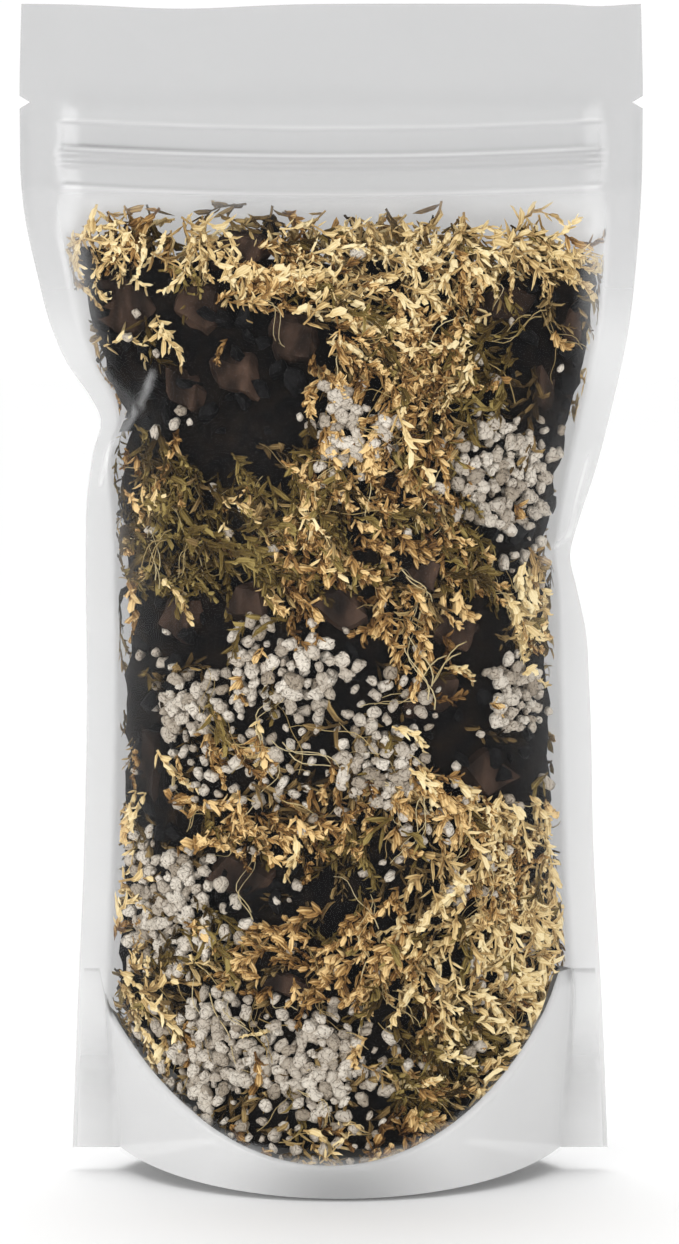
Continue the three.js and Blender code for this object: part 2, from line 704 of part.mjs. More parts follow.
function corePoint(level, k, side, random) {
  const shift = pick(random, CORE_SHIFT);
  const rise = pick(random, CORE_SHIFT);
  const push = pick(random, [-CORE_ROUGHNESS, CORE_ROUGHNESS]);
  const onEdge = k === 0 || k === CORE_ARC_STEPS;
  const still = onEdge || level === 0;
  const share = (level + (still ? 0 : rise)) / CORE_LEVELS;
  const z = THREE.MathUtils.lerp(CORE_FOOT_Z, CORE_TOP_Z, share);
  const r = row(Math.min(z, CORE_TOP_Z));
  const limit = Math.acos((r.radius - r.depth + CORE_EDGE_HALF) / (r.radius - CORE_DEPTH));
  const angle = -side * limit * ((2 * (k + (still ? 0 : shift))) / CORE_ARC_STEPS - 1);
  const reach = r.radius - CORE_DEPTH + (onEdge ? 0 : push);
  const y = Math.max(CORE_EDGE_HALF, reach * Math.cos(angle) - (r.radius - r.depth));
  return vector(r.middle + reach * Math.sin(angle), side * y, z);
}

function mossCore() {
  const random = randomFrom(BED_SEED - 1);
  const points = [];
  const index = [];
  for (let level = 0; level <= CORE_LEVELS; level += 1) {
    for (const side of [FRONT, BACK]) {
      for (let k = 0; k <= CORE_ARC_STEPS; k += 1) points.push(corePoint(level, k, side, random));
    }
  }
  const ring = 2 * (CORE_ARC_STEPS + 1);
  for (let level = 0; level < CORE_LEVELS; level += 1) {
    for (let k = 0; k < ring; k += 1) {
      const [a, b] = [level * ring + k, level * ring + ((k + 1) % ring)];
      index.push(a, b, b + ring, a, b + ring, a + ring);
    }
  }
  const top = CORE_LEVELS * ring;
  for (let k = 0; k < CORE_ARC_STEPS; k += 1) {
    const [a, b, c, d] = [k, k + 1, ring - 2 - k, ring - 1 - k];
    index.push(a, c, b, a, d, c);
    index.push(top + a, top + b, top + c, top + a, top + c, top + d);
  }
  return solidOf(geometryFrom(points, index));
}

// Sprigs over one side of the bed, on a jittered grid that leaves out what other pieces cover.
// Their headings swirl, and they keep off the seals, the gusset and the thin top.
const SPRIG_SPACING_ACROSS = 38;
const SPRIG_SPACING_UP = 28;
const SPRIG_LINES = 8;
const FIRST_SPRIG_Z = 16;
const SPRIG_HALF_SPREAD = 46;
const SPRIG_STAGGER = 8;
const SPRIG_SHIFT = [-2.5, 2.5];
const SPRIG_SCALE = [0.8, 1.2];
const SPRIG_TURN = [0, 1.2];
const SPRIG_ABOVE_ARC = 6;
const SPRIG_LEAST_BULGE = 9;
const COVER_MARGIN = 2;

const swirl = (a, b, side) => 2.2 * Math.sin(0.05 * a + 0.021 * b + side);

function isCovered(a, b, covered) {
  return covered.some(
    ([q, z, width, height]) =>
      Math.abs(a - q) < width / 2 - COVER_MARGIN && Math.abs(b - z) < height / 2 - COVER_MARGIN,
  );
}

function bedSprigs(side, covered, seed) {
  const random = randomFrom(seed);
  const sprigs = [];
  for (let line = 0; line < SPRIG_LINES; line += 1) {
    const z = FIRST_SPRIG_Z + line * SPRIG_SPACING_UP;
    const first = -SPRIG_HALF_SPREAD + (line % 2 === 0 ? SPRIG_STAGGER : 0);
    for (let q = first; q <= SPRIG_HALF_SPREAD; q += SPRIG_SPACING_ACROSS) {
      const a = q + pick(random, SPRIG_SHIFT);
      const b = z + pick(random, SPRIG_SHIFT);
      const heading = swirl(a, b, side) + pick(random, SPRIG_TURN);
      const length = SPRIG_LENGTH * pick(random, SPRIG_SCALE);
      const ownRandom = randomFrom(Math.floor(random() * 1e6));
      const offset = Math.abs(inside(a, b, 0, side).x - GUSSET_MIDDLE);
      const tooLow = b < sealArc(offset) + SPRIG_ABOVE_ARC;
      if (tooLow || row(z).depth < SPRIG_LEAST_BULGE || isCovered(a, b, covered)) continue;
      sprigs.push(mossSprig(a, b, heading, length, side, ownRandom));
    }
  }
  return sprigs;
}

// The model
const model = new THREE.Group();

function addMesh(name, geometry, finish) {
  const mesh = new THREE.Mesh(geometry, new THREE.MeshStandardMaterial(COLOURS[finish]));
  mesh.name = name;
  model.add(mesh);
}

const numbered = (name, k) => `${name}_${String(k + 1).padStart(2, "0")}`;

function addPouch() {
  const front = frontPanel();
  addMesh("front_panel", geometryOf(front), "film");
  addMesh("back_panel", geometryOf(mirrored(front)), "milky");
  addMesh("bottom_gusset", geometryOf(bottomGusset()), "milky");
  addMesh("zip_male", zipMale(), "zip");
  addMesh("zip_female", zipFemale(), "zip");
}

// Pieces are settled in turn, and each is cut clear of those before it and of the floor.
function addContents() {
  let taken = underFloor();
  const settle = (name, solid, room, finish) => {
    const free = largestOf(solid.subtract(taken));
    taken = taken.add(room);
    addMesh(name, geometryOf(free), finish);
  };
  const onBothSides = (front, back) => [
    ...front.map((place) => ({ place, side: FRONT })),
    ...back.map((place) => ({ place, side: BACK })),
  ];
  onBothSides(FRONT_BARK, BACK_BARK).forEach(({ place, side }, k) => {
    const chip = (grow) => barkChip(place, side, BARK_SEED + k, grow);
    settle(numbered("bark_chip", k), chip(0), chip(PIECE_GAP), "bark");
  });
  onBothSides(FRONT_PERLITE, BACK_PERLITE).forEach(({ place, side }, k) => {
    const cluster = perliteCluster(place, side, PERLITE_SEED + k);
    settle(numbered("perlite_cluster", k), cluster, roomFor(place, side), "perlite");
  });
  onBothSides(FRONT_TUFTS, BACK_TUFTS).forEach(({ place: [colour, ...place], side }, k) => {
    const tuft = mossTuft(place, side, TUFT_SEED + k);
    settle(numbered(`moss_tuft_${colour}`, k), tuft, roomFor(place, side), colour);
  });

  const withoutColour = (tufts) => tufts.map(([, ...place]) => place);
  const frontCovered = [...FRONT_BARK, ...FRONT_PERLITE, ...withoutColour(FRONT_TUFTS)];
  const backCovered = [...BACK_BARK, ...BACK_PERLITE, ...withoutColour(BACK_TUFTS)];
  const sprigs = [
    ...bedSprigs(FRONT, frontCovered, BED_SEED),
    ...bedSprigs(BACK, backCovered, BED_SEED + 1),
  ];
  const bed = largestOf(joined([mossCore(), ...sprigs]).subtract(taken));
  addMesh("moss_bed", geometryOf(bed), "bed");
}

addPouch();
addContents();

export default model;
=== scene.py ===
"""A clear-front stand-up pouch filled with dried moss, perlite and bark.

Shapes are worked out in millimetres and turned into metres when a mesh is made. Z is up, and the
clear front faces -Y.
"""
import json
import math
import random

import bmesh
import bpy
import numpy as np
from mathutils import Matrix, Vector, noise

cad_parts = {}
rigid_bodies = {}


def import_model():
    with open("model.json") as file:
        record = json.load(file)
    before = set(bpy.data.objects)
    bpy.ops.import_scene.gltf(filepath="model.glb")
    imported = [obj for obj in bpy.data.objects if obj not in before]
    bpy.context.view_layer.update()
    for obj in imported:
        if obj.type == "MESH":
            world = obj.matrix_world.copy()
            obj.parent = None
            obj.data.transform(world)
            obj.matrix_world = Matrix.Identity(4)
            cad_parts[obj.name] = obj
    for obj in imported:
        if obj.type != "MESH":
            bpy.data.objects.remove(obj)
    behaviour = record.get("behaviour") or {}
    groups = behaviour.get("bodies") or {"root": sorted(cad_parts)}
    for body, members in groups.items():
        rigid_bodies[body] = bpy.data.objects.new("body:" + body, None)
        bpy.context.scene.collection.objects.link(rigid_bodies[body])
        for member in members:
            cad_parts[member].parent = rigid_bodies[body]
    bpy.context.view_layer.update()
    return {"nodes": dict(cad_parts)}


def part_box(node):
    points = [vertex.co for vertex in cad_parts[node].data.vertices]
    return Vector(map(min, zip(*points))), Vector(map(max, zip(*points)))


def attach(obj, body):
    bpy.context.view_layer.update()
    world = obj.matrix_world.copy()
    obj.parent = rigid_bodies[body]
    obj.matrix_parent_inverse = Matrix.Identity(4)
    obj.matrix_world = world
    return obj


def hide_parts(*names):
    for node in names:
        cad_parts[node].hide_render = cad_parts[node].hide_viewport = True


bl_info = {
    "name": "Moss Mix Pouch",
    "version": (1, 0, 0),
    "blender": (4, 5, 0),
    "location": "3D View > Sidebar > Pouch",
    "description": "Builds a filled stand-up pouch piece by piece",
    "category": "Object",
}

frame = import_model()
BODY = "root"
MM = 0.001

# The pouch's shape, as its solids have it
FLAT_WIDTH = 150.0
SIDE_SEAL = 7.2
INNER_WIDTH = FLAT_WIDTH - 2 * SIDE_SEAL
TOP_Z = 285.0
GUSSET_FOLD_Z = 49.0
CORNER_LIFT = 5.0
FRONT = -1
BACK = 1
BOTH = (FRONT, BACK)
LEFT_EDGE = [
    (0, -64), (40, -62.5), (80, -60.7), (120, -59.7), (150, -59.8), (168, -59.2), (178, -57.6),
    (185, -55.9), (191, -58.6), (198, -63.6), (207, -67.6), (220, -71), (236, -74.2), (246, -75),
    (264, -75), (285, -74.4),
]
RIGHT_EDGE = [
    (0, 68.3), (40, 66.6), (80, 64.3), (120, 63), (134, 62), (144, 59.8), (152, 58.1), (160, 60),
    (172, 63.9), (188, 68), (207, 72), (225, 73.9), (246, 75), (264, 75), (285, 74.4),
]
MOST_BULGE = 37.0
LEAST_BULGE = 0.05
BULGE_ENDS_Z = 243.0
BULGE_IS_FULL_Z = 229.0
SEAL_WIDENING = 4.0
SEAL_WIDENS_BELOW_Z = 50.0
WAIST_NARROWING = 3.4
LEFT_WAIST_Z = 180.0
RIGHT_WAIST_Z = 152.0
WAIST_REACH = 15.0
HALF_SEAL_GAP = 0.1
LEAF_ROOM = 0.75
LEAF_ROOM_ENDS_Z = 60.0
ROW_STEP = 0.5

# The bottom seal's arc and the gusset's floor
ARC_MIDDLE_X = -1.2
ARC_MIDDLE_Z = 60.0
ARC_HALF_WIDTH = 56.5
ARC_HEIGHT = 51.4
GUSSET_MIDDLE = (LEFT_EDGE[0][1] + RIGHT_EDGE[0][1]) / 2
FOLD_HALF_LENGTH = 53.0
BELLY_HALF_LENGTH = 22.0
BELLY_SHARE = 0.35

# How clear of the seals and of the far film the contents stay
CLEAR_OF_SEAL = 2.0
CLEAR_OF_FAR_FILM = 2.4
SHARE_OF_FAR_SIDE = 0.8

# The zip's tapes and the tear notches
ZIP_Z = TOP_Z - 35.5
ZIP_HALF_LENGTH = 65.0
ZIP_HALF_HEIGHT = 7.25
ZIP_SAG = 2.0
RIB_REACH = 2.0
NOTCH_Z = TOP_Z - 23.5
NOTCH_DEPTH = 2.5
NOTCH_HALF_HEIGHT = 1.5


def smooth_step(zero_at, one_at, value):
    """An even step from 0 at one value to 1 at another, which may lie below it."""
    share = np.clip((np.asarray(value, float) - zero_at) / (one_at - zero_at), 0.0, 1.0)
    return share * share * (3.0 - 2.0 * share)


def curve_through(points, height):
    """The place on a smooth curve through points of height and place."""
    heights = [z for z, _ in points]
    places = [x for _, x in points]
    tangents = np.gradient(places, heights)
    z = min(max(height, heights[0]), heights[-1])
    k = min(max(int(np.searchsorted(heights, z)) - 1, 0), len(points) - 2)
    span = heights[k + 1] - heights[k]
    t = (z - heights[k]) / span
    return (
        (2 * t**3 - 3 * t**2 + 1) * places[k]
        + (t**3 - 2 * t**2 + t) * span * tangents[k]
        + (3 * t**2 - 2 * t**3) * places[k + 1]
        + (t**3 - t**2) * span * tangents[k + 1]
    )


def waist(z, middle):
    """How near a height is to a waist of the pouch, from 0 to 1."""
    return math.exp(-(((z - middle) / WAIST_REACH) ** 2))


def film_row(z):
    """The film's section at a height: both seals' widths, middle, bulge and half angle."""
    seal = SIDE_SEAL + SEAL_WIDENING * float(smooth_step(SEAL_WIDENS_BELOW_Z, 0, z))
    left_seal = seal - WAIST_NARROWING * waist(z, LEFT_WAIST_Z)
    right_seal = seal - WAIST_NARROWING * waist(z, RIGHT_WAIST_Z)
    left = max(-FLAT_WIDTH / 2, curve_through(LEFT_EDGE, z)) + left_seal
    right = min(FLAT_WIDTH / 2, curve_through(RIGHT_EDGE, z)) - right_seal
    chord = right - left
    # The half angle of the arc that is as long as the flat film is wide
    ratio = INNER_WIDTH / min(chord, INNER_WIDTH - 0.01)
    low, high = 0.001, 1.5
    while high - low > 1e-6:
        half = (low + high) / 2
        if half / math.sin(half) < ratio:
            low = half
        else:
            high = half
    full = min(chord / 2 * math.tan(low / 2), MOST_BULGE)
    depth = max(LEAST_BULGE, full * float(smooth_step(BULGE_ENDS_Z, BULGE_IS_FULL_Z, z)))
    return (left_seal, right_seal, (left + right) / 2, depth, 2 * math.atan2(2 * depth, chord))


ROW_HEIGHTS = np.arange(0, TOP_Z + ROW_STEP, ROW_STEP)
ROW_TABLE = np.array([film_row(z) for z in ROW_HEIGHTS])


def rows_at(z):
    """The film's middle, bulge, radius and half angle at many heights, as arrays."""
    z = np.clip(z, 0, TOP_Z)
    _, _, middle, depth, spread = [np.interp(z, ROW_HEIGHTS, column) for column in ROW_TABLE.T]
    chord = 2 * depth / np.tan(spread / 2)
    return middle, depth, (chord**2 / 4 + depth**2) / (2 * depth), spread


def half_gap(z):
    """Half the gap between the sealed films, wider where the gusset's leaves lie in it."""
    return HALF_SEAL_GAP + LEAF_ROOM * smooth_step(LEAF_ROOM_ENDS_Z, GUSSET_FOLD_Z, z)


def under_film(q, z, depth, side):
    """Points at a depth under one film, q across the flat film from its middle, in millimetres."""
    middle, bulge, radius, spread = rows_at(z)
    limit = INNER_WIDTH / 2 - CLEAR_OF_SEAL
    angle = np.clip(q, -limit, limit) / (INNER_WIDTH / 2) * spread
    across = (radius - depth) * np.sin(angle)
    far_film = radius * np.cos(np.arcsin(across / radius)) - (radius - bulge)
    room = np.maximum(0, far_film - CLEAR_OF_FAR_FILM)
    rise = radius * np.cos(angle) - (radius - bulge) - depth * np.cos(angle)
    y = np.maximum(-SHARE_OF_FAR_SIDE * room, rise)
    return np.stack([middle + across, side * y, z], axis=-1)


def seal_arc(x):
    """The height of the bottom seal's arc at a place across."""
    share = np.minimum(1.0, np.abs(x - ARC_MIDDLE_X) / ARC_HALF_WIDTH)
    return np.minimum(GUSSET_FOLD_Z, ARC_MIDDLE_Z - ARC_HEIGHT * np.sqrt(1 - share**2))


def floor_line(x):
    """The height of the gusset's floor along its middle, where the contents press it flat."""
    folded = GUSSET_FOLD_Z * smooth_step(BELLY_HALF_LENGTH, FOLD_HALF_LENGTH, np.abs(x - GUSSET_MIDDLE))
    return np.minimum(seal_arc(x), folded)


def floor_rise(share):
    """How far the gusset's floor has risen at a share of the way to a film, from 0 to 1."""
    return np.maximum(0, (share - BELLY_SHARE) / (1 - BELLY_SHARE)) ** 2


def gusset_floor(x, y):
    """The height of the gusset's floor under a place."""
    arc = seal_arc(x)
    line = floor_line(x)
    middle, depth, radius, _ = rows_at(arc)
    inner = np.sqrt(np.maximum(1.0, radius**2 - (x - middle) ** 2)) - (radius - depth)
    share = np.clip(np.abs(y) / np.maximum(1.0, inner), 0, 1)
    return line + (arc - line) * floor_rise(share)


def uneven(x, z, side, scale, seed):
    """Slow random variation from 0 to 1."""
    values = [
        noise.noise(Vector((a / scale, b / scale, seed + 20.0 * side)))
        for a, b in zip(np.ravel(x), np.ravel(z))
    ]
    return np.clip(0.5 + 0.9 * np.array(values).reshape(np.shape(x)), 0, 1)


# Meshes and pieces
def linked_object(name, data):
    """An object in the scene, with a mesh, a light or a camera."""
    thing = bpy.data.objects.new(name, data)
    bpy.context.scene.collection.objects.link(thing)
    return thing


def new_object(name, points, faces):
    """An object with a mesh of its own, from points in millimetres."""
    mesh = bpy.data.meshes.new(name)
    mesh.from_pydata((np.asarray(points, float) * MM).tolist(), [], faces)
    mesh.update()
    return linked_object(name, mesh)


def object_from(name, shape):
    """An object with a mesh of its own, from an edited shape, which is freed."""
    mesh = bpy.data.meshes.new(name)
    shape.to_mesh(mesh)
    shape.free()
    return linked_object(name, mesh)


def store_values(piece, name, values):
    """Keeps a value for each of a piece's points."""
    layer = piece.data.attributes.new(name, "FLOAT", "POINT")
    layer.data.foreach_set("value", np.asarray(values, np.float32))


def grid_faces(columns, rows, first=0):
    """Quads over a grid of points that are listed row by row."""
    return [
        (first + j * columns + i, first + j * columns + i + 1,
         first + (j + 1) * columns + i + 1, first + (j + 1) * columns + i)
        for j in range(rows - 1)
        for i in range(columns - 1)
    ]


def finish_piece(piece, material, nodes, smooth=True):
    """Gives a piece its material, its body and the nodes that it stands for."""
    if material is not None:
        piece.data.materials.clear()
        piece.data.materials.append(material)
    piece.data.polygons.foreach_set("use_smooth", [smooth] * len(piece.data.polygons))
    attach(piece, BODY)
    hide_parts(*nodes)


def apply_modifiers(piece):
    """Turns a piece with modifiers into a plain mesh."""
    seen = piece.evaluated_get(bpy.context.evaluated_depsgraph_get())
    mesh = bpy.data.meshes.new_from_object(seen)
    piece.modifiers.clear()
    piece.data = mesh


def turn_outwards(piece):
    """Merges a piece's doubles and turns its faces outwards."""
    mesh = bmesh.new()
    mesh.from_mesh(piece.data)
    bmesh.ops.remove_doubles(mesh, verts=mesh.verts, dist=1e-6)
    bmesh.ops.recalc_face_normals(mesh, faces=mesh.faces)
    mesh.to_mesh(piece.data)
    mesh.free()


# Node trees
def socket_named(sockets, name):
    """The socket of that name that is in use."""
    return next(s for s in sockets if s.name == name and s.enabled)


def feed(tree, socket, value):
    """Links an input to a socket, or sets it to a value."""
    if isinstance(value, bpy.types.NodeSocket):
        tree.links.new(value, socket)
    else:
        socket.default_value = value


def add_node(tree, kind, inputs=None, **settings):
    """A node with its settings, and its inputs set or linked."""
    node = tree.nodes.new(kind)
    for key, value in settings.items():
        setattr(node, key, value)
    for name, value in (inputs or {}).items():
        feed(tree, socket_named(node.inputs, name), value)
    return node


def output_of(node, name=None):
    """A node's named output, or its first one in use."""
    if name:
        return socket_named(node.outputs, name)
    return next(s for s in node.outputs if s.enabled)


def maths(tree, operation, first, second=0.0):
    """The result of one sum on sockets or numbers."""
    node = add_node(tree, "ShaderNodeMath", operation=operation)
    for socket, value in zip(node.inputs, (first, second)):
        feed(tree, socket, value)
    return node.outputs[0]


def new_material(name):
    """A material with a Principled shader, and its tree and shader."""
    material = bpy.data.materials.new(name)
    material.use_nodes = True
    shader = material.node_tree.nodes["Principled BSDF"]
    return material, material.node_tree, shader


def point_value(tree, name):
    """The value that a piece keeps for its points under a name."""
    return add_node(tree, "ShaderNodeAttribute", attribute_name=name).outputs["Fac"]


def texture(tree, kind, scale, detail=None, stretch=(1, 1, 1), **settings):
    """A texture on object coordinates, stretched along an axis if asked."""
    place = add_node(tree, "ShaderNodeTexCoord")
    mapping = add_node(tree, "ShaderNodeMapping", {"Vector": place.outputs["Object"], "Scale": stretch})
    inputs = {"Vector": mapping.outputs[0], "Scale": scale}
    if detail is not None:
        inputs["Detail"] = detail
    return add_node(tree, "ShaderNodeTex" + kind, inputs, **settings).outputs[0]


def colour_ramp(tree, factor, stops):
    """A colour ramp with its stops, driven by a socket."""
    node = add_node(tree, "ShaderNodeValToRGB", {"Fac": factor})
    ramp = node.color_ramp
    while len(ramp.elements) < len(stops):
        ramp.elements.new(0.5)
    for element, (position, colour) in zip(ramp.elements, stops):
        element.position = position
        element.color = (*colour, 1.0)
    return node.outputs["Color"]


def mixed_colour(tree, factor, first, second, blend="MIX"):
    """Two colours mixed by a factor; each is a socket or a value."""
    node = add_node(tree, "ShaderNodeMix", data_type="RGBA", blend_type=blend)
    for place, value in ((0, factor), (6, first), (7, second)):
        feed(tree, node.inputs[place], (*value, 1.0) if isinstance(value, tuple) else value)
    return node.outputs[2]


def set_surface(tree, shader, colour, roughness, specular=None):
    """Gives a shader its colour, its roughness and, if asked, its specular level."""
    tree.links.new(colour, shader.inputs["Base Color"])
    shader.inputs["Roughness"].default_value = roughness
    if specular is not None:
        shader.inputs["Specular IOR Level"].default_value = specular


def add_bump(tree, shader, height, strength, distance):
    """Fine relief on a shader; gives the bumpy normal."""
    bump = add_node(tree, "ShaderNodeBump", {"Height": height, "Strength": strength, "Distance": distance})
    tree.links.new(bump.outputs[0], shader.inputs["Normal"])
    return bump.outputs[0]


# Materials
UPRIGHT_WRINKLES = (1, 1, 0.5)
UPRIGHT_FIBRES = (1, 1, 0.35)
LEAF_FIBRES = (1, 1, 0.4)
# Colours of the clear film's painted highlight lines and painted shade lines
PAINTED_HIGHLIGHT_COLOUR = (0.95, 0.95, 0.95)
PAINTED_SHADE_COLOUR = (0.12, 0.12, 0.125)
CLEAR_STOPS = [(0.0, (0.82, 0.82, 0.82)), (0.4, (0.62, 0.622, 0.625)), (1.0, (0.47, 0.472, 0.475))]
TAPE_STOPS = [(0.0, (0.5, 0.505, 0.51)), (1.0, (0.62, 0.625, 0.63))]
# The rib's colour, painted darker as shade
PAINTED_RIB_SHADE = (0.36, 0.362, 0.365)
GRAIN_STOPS = [(0.0, (0.32, 0.265, 0.2)), (0.25, (0.5, 0.435, 0.355)), (1.0, (0.74, 0.675, 0.58))]
CRINKLE_SHADE_STOPS = [(0.12, (0.2, 0.165, 0.13)), (0.42, (1, 1, 1))]
BARK_STOPS = [
    (0.3, (0.005, 0.0033, 0.0026)), (0.48, (0.021, 0.0125, 0.0086)), (0.7, (0.075, 0.044, 0.03)),
]
DUST_STOPS = [(0.83, (0, 0, 0)), (0.86, (1, 1, 1))]
DUST_COLOUR = (0.2, 0.16, 0.12)
CHARCOAL_STOPS = [(0.35, (0.002, 0.002, 0.0022)), (0.7, (0.01, 0.0095, 0.01))]
# The inside of the mix, near black as painted shade for the depth of the gaps
CORE_SHADE_STOPS = [(0.4, (0.002, 0.0018, 0.002)), (0.65, (0.008, 0.0055, 0.004)), (0.85, (0.03, 0.019, 0.01))]
STRAW_STOPS = [
    (0.2, (0.12, 0.065, 0.022)), (0.4, (0.44, 0.29, 0.115)),
    (0.56, (0.69, 0.52, 0.25)), (0.8, (0.84, 0.7, 0.41)),
]
OLIVE_STOPS = [
    (0.2, (0.012, 0.0065, 0.0016)), (0.4, (0.05, 0.03, 0.0072)),
    (0.58, (0.12, 0.08, 0.02)), (0.8, (0.29, 0.215, 0.07)),
]
RUST_STOPS = [
    (0.2, (0.02, 0.008, 0.003)), (0.4, (0.12, 0.058, 0.018)),
    (0.58, (0.34, 0.19, 0.06)), (0.8, (0.76, 0.54, 0.25)),
]
BROWN_STOPS = [
    (0.2, (0.012, 0.0075, 0.004)), (0.42, (0.065, 0.04, 0.0145)),
    (0.62, (0.18, 0.115, 0.043)), (0.85, (0.38, 0.27, 0.115)),
]
PALE_STOPS = [(0.2, (0.16, 0.1, 0.035)), (0.5, (0.4, 0.29, 0.12)), (0.8, (0.74, 0.63, 0.38))]


def clear_film_material():
    """Clear glossy film: almost unseen face on, whiter where it turns away or is sealed, with painted
    highlight lines and painted shade lines.
    """
    material, tree, shader = new_material("Clear glossy film")
    sealed, painted_highlight, shaded = [point_value(tree, name) for name in ("sealed", "painted_highlight", "shaded")]
    # Painted highlight lines along creases, the bottom seal and the zip, and painted shade lines
    highlighted_colour = mixed_colour(tree, painted_highlight, colour_ramp(tree, sealed, CLEAR_STOPS), PAINTED_HIGHLIGHT_COLOUR)
    set_surface(tree, shader, mixed_colour(tree, shaded, highlighted_colour, PAINTED_SHADE_COLOUR), roughness=0.2)
    wrinkles = texture(tree, "Noise", 60, 4, UPRIGHT_WRINKLES)
    normal = add_bump(tree, shader, wrinkles, strength=0.3, distance=0.001)
    facing = add_node(tree, "ShaderNodeLayerWeight", {"Blend": 0.5, "Normal": normal}).outputs["Facing"]
    turned_away = maths(tree, "MULTIPLY", maths(tree, "POWER", facing, 4.0), 0.7)
    lines = maths(tree, "MULTIPLY", maths(tree, "ADD", painted_highlight, shaded), 0.26)
    haze = maths(tree, "ADD", maths(tree, "MULTIPLY", sealed, 0.5), lines)
    whole = maths(tree, "ADD", maths(tree, "ADD", turned_away, haze), 0.008)
    tree.links.new(whole, shader.inputs["Alpha"])
    return material


def milky_film_material(name, alpha, dull, bright):
    """Milky satin film that lets some of what is behind it show through, with painted light: brighter where
    its 'pale' value is high.
    """
    material, tree, shader = new_material(name)
    # Painted light: the 'pale' value and a faint cloud raise the colour from dull to bright
    cloud = maths(tree, "MULTIPLY", texture(tree, "Noise", 18, 3), 0.1)
    painted_light = maths(tree, "ADD", point_value(tree, "pale"), cloud)
    colour = colour_ramp(tree, painted_light, [(0.0, (dull,) * 3), (1.0, (bright,) * 3)])
    set_surface(tree, shader, colour, roughness=0.35)
    thinned = maths(tree, "MULTIPLY", point_value(tree, "thin"), 0.95 * alpha)
    tree.links.new(maths(tree, "SUBTRACT", alpha, thinned), shader.inputs["Alpha"])
    wrinkles = texture(tree, "Noise", 70, 4, UPRIGHT_WRINKLES)
    add_bump(tree, shader, wrinkles, strength=0.25, distance=0.001)
    return material


def zip_material():
    """Translucent tape with fine lines along it, its rib painted darker as shade."""
    material, tree, shader = new_material("Translucent zip tape")
    lines = texture(tree, "Wave", 260, bands_direction="Z")
    rib = point_value(tree, "rib")
    tape = colour_ramp(tree, lines, TAPE_STOPS)
    # The rib is painted darker, as shade along the zip
    set_surface(tree, shader, mixed_colour(tree, rib, tape, PAINTED_RIB_SHADE), roughness=0.3)
    tree.links.new(maths(tree, "ADD", maths(tree, "MULTIPLY", rib, 0.07), 0.03), shader.inputs["Alpha"])
    add_bump(tree, shader, lines, strength=0.3, distance=0.0003)
    return material


def moss_material(name, stops):
    """Dull dried leaves, varied from sprig to sprig and from leaf to leaf, with painted shade at each
    leaf's base and edges and painted highlight along its keel and tip.
    """
    material, tree, shader = new_material(name)
    patches = texture(tree, "Noise", 420, 4)
    turn = maths(tree, "ADD", maths(tree, "MULTIPLY", point_value(tree, "across"), 8.0), patches)
    stripes = maths(tree, "MULTIPLY", maths(tree, "SINE", turn), 0.07)
    by_sprig = maths(tree, "ADD", maths(tree, "MULTIPLY", point_value(tree, "tint"), 0.36), stripes)
    # Each leaf's own random lightness plus its painted shade and painted highlight
    by_leaf_and_shade = maths(tree, "MULTIPLY", point_value(tree, "tone_and_shade"), 0.44)
    by_place = maths(tree, "MULTIPLY", patches, 0.26)
    mixed = maths(tree, "ADD", maths(tree, "ADD", by_sprig, by_leaf_and_shade), by_place)
    set_surface(tree, shader, colour_ramp(tree, mixed, stops), roughness=0.75, specular=0.08)
    fibres = texture(tree, "Noise", 1600, 3, LEAF_FIBRES)
    add_bump(tree, shader, fibres, strength=0.5, distance=0.0004)
    return material


def perlite_material():
    """Chalky grains with fine crinkles and pits, painted dark in their grooves as shade."""
    material, tree, shader = new_material("Chalky perlite")
    body = colour_ramp(tree, point_value(tree, "tint"), GRAIN_STOPS)
    crinkles = texture(tree, "Voronoi", 620, 2, feature="DISTANCE_TO_EDGE")
    pits = texture(tree, "Noise", 1500, 4)
    line = maths(tree, "MULTIPLY", crinkles, 4.0)
    depth = maths(tree, "ADD", line, maths(tree, "SUBTRACT", pits, 0.25))
    # Painted shade: darker where the crinkles and pits sink in
    shade = colour_ramp(tree, depth, CRINKLE_SHADE_STOPS)
    colour = mixed_colour(tree, 1.0, body, shade, blend="MULTIPLY")
    set_surface(tree, shader, colour, roughness=0.92, specular=0.2)
    add_bump(tree, shader, depth, strength=0.9, distance=0.0006)
    return material


def bark_material():
    """Very dark bark with a fibrous, cracked face and a few pale specks of dust."""
    material, tree, shader = new_material("Dark bark")
    fibres = texture(tree, "Noise", 170, 5, UPRIGHT_FIBRES)
    dust = colour_ramp(tree, texture(tree, "Noise", 800, 1), DUST_STOPS)
    dusty = mixed_colour(tree, dust, colour_ramp(tree, fibres, BARK_STOPS), DUST_COLOUR)
    set_surface(tree, shader, dusty, roughness=0.7, specular=0.08)
    add_bump(tree, shader, fibres, strength=0.7, distance=0.0012)
    return material


def grainy_material(name, scale, detail, stops, roughness, specular, strength, distance):
    """A dark, grainy material with one colour ramp."""
    material, tree, shader = new_material(name)
    grain = texture(tree, "Noise", scale, detail)
    set_surface(tree, shader, colour_ramp(tree, grain, stops), roughness, specular)
    add_bump(tree, shader, grain, strength, distance)
    return material


def charcoal_material():
    """Charcoal crumbs, near black."""
    return grainy_material(
        "Charcoal", scale=700, detail=5, stops=CHARCOAL_STOPS,
        roughness=0.55, specular=0.06, strength=0.8, distance=0.0006,
    )


def core_material():
    """The inside of the mix, seen in the gaps, near black as painted shade."""
    return grainy_material(
        "Inside of the mix, painted shade", scale=190, detail=6, stops=CORE_SHADE_STOPS,
        roughness=0.9, specular=0.05, strength=1.0, distance=0.002,
    )


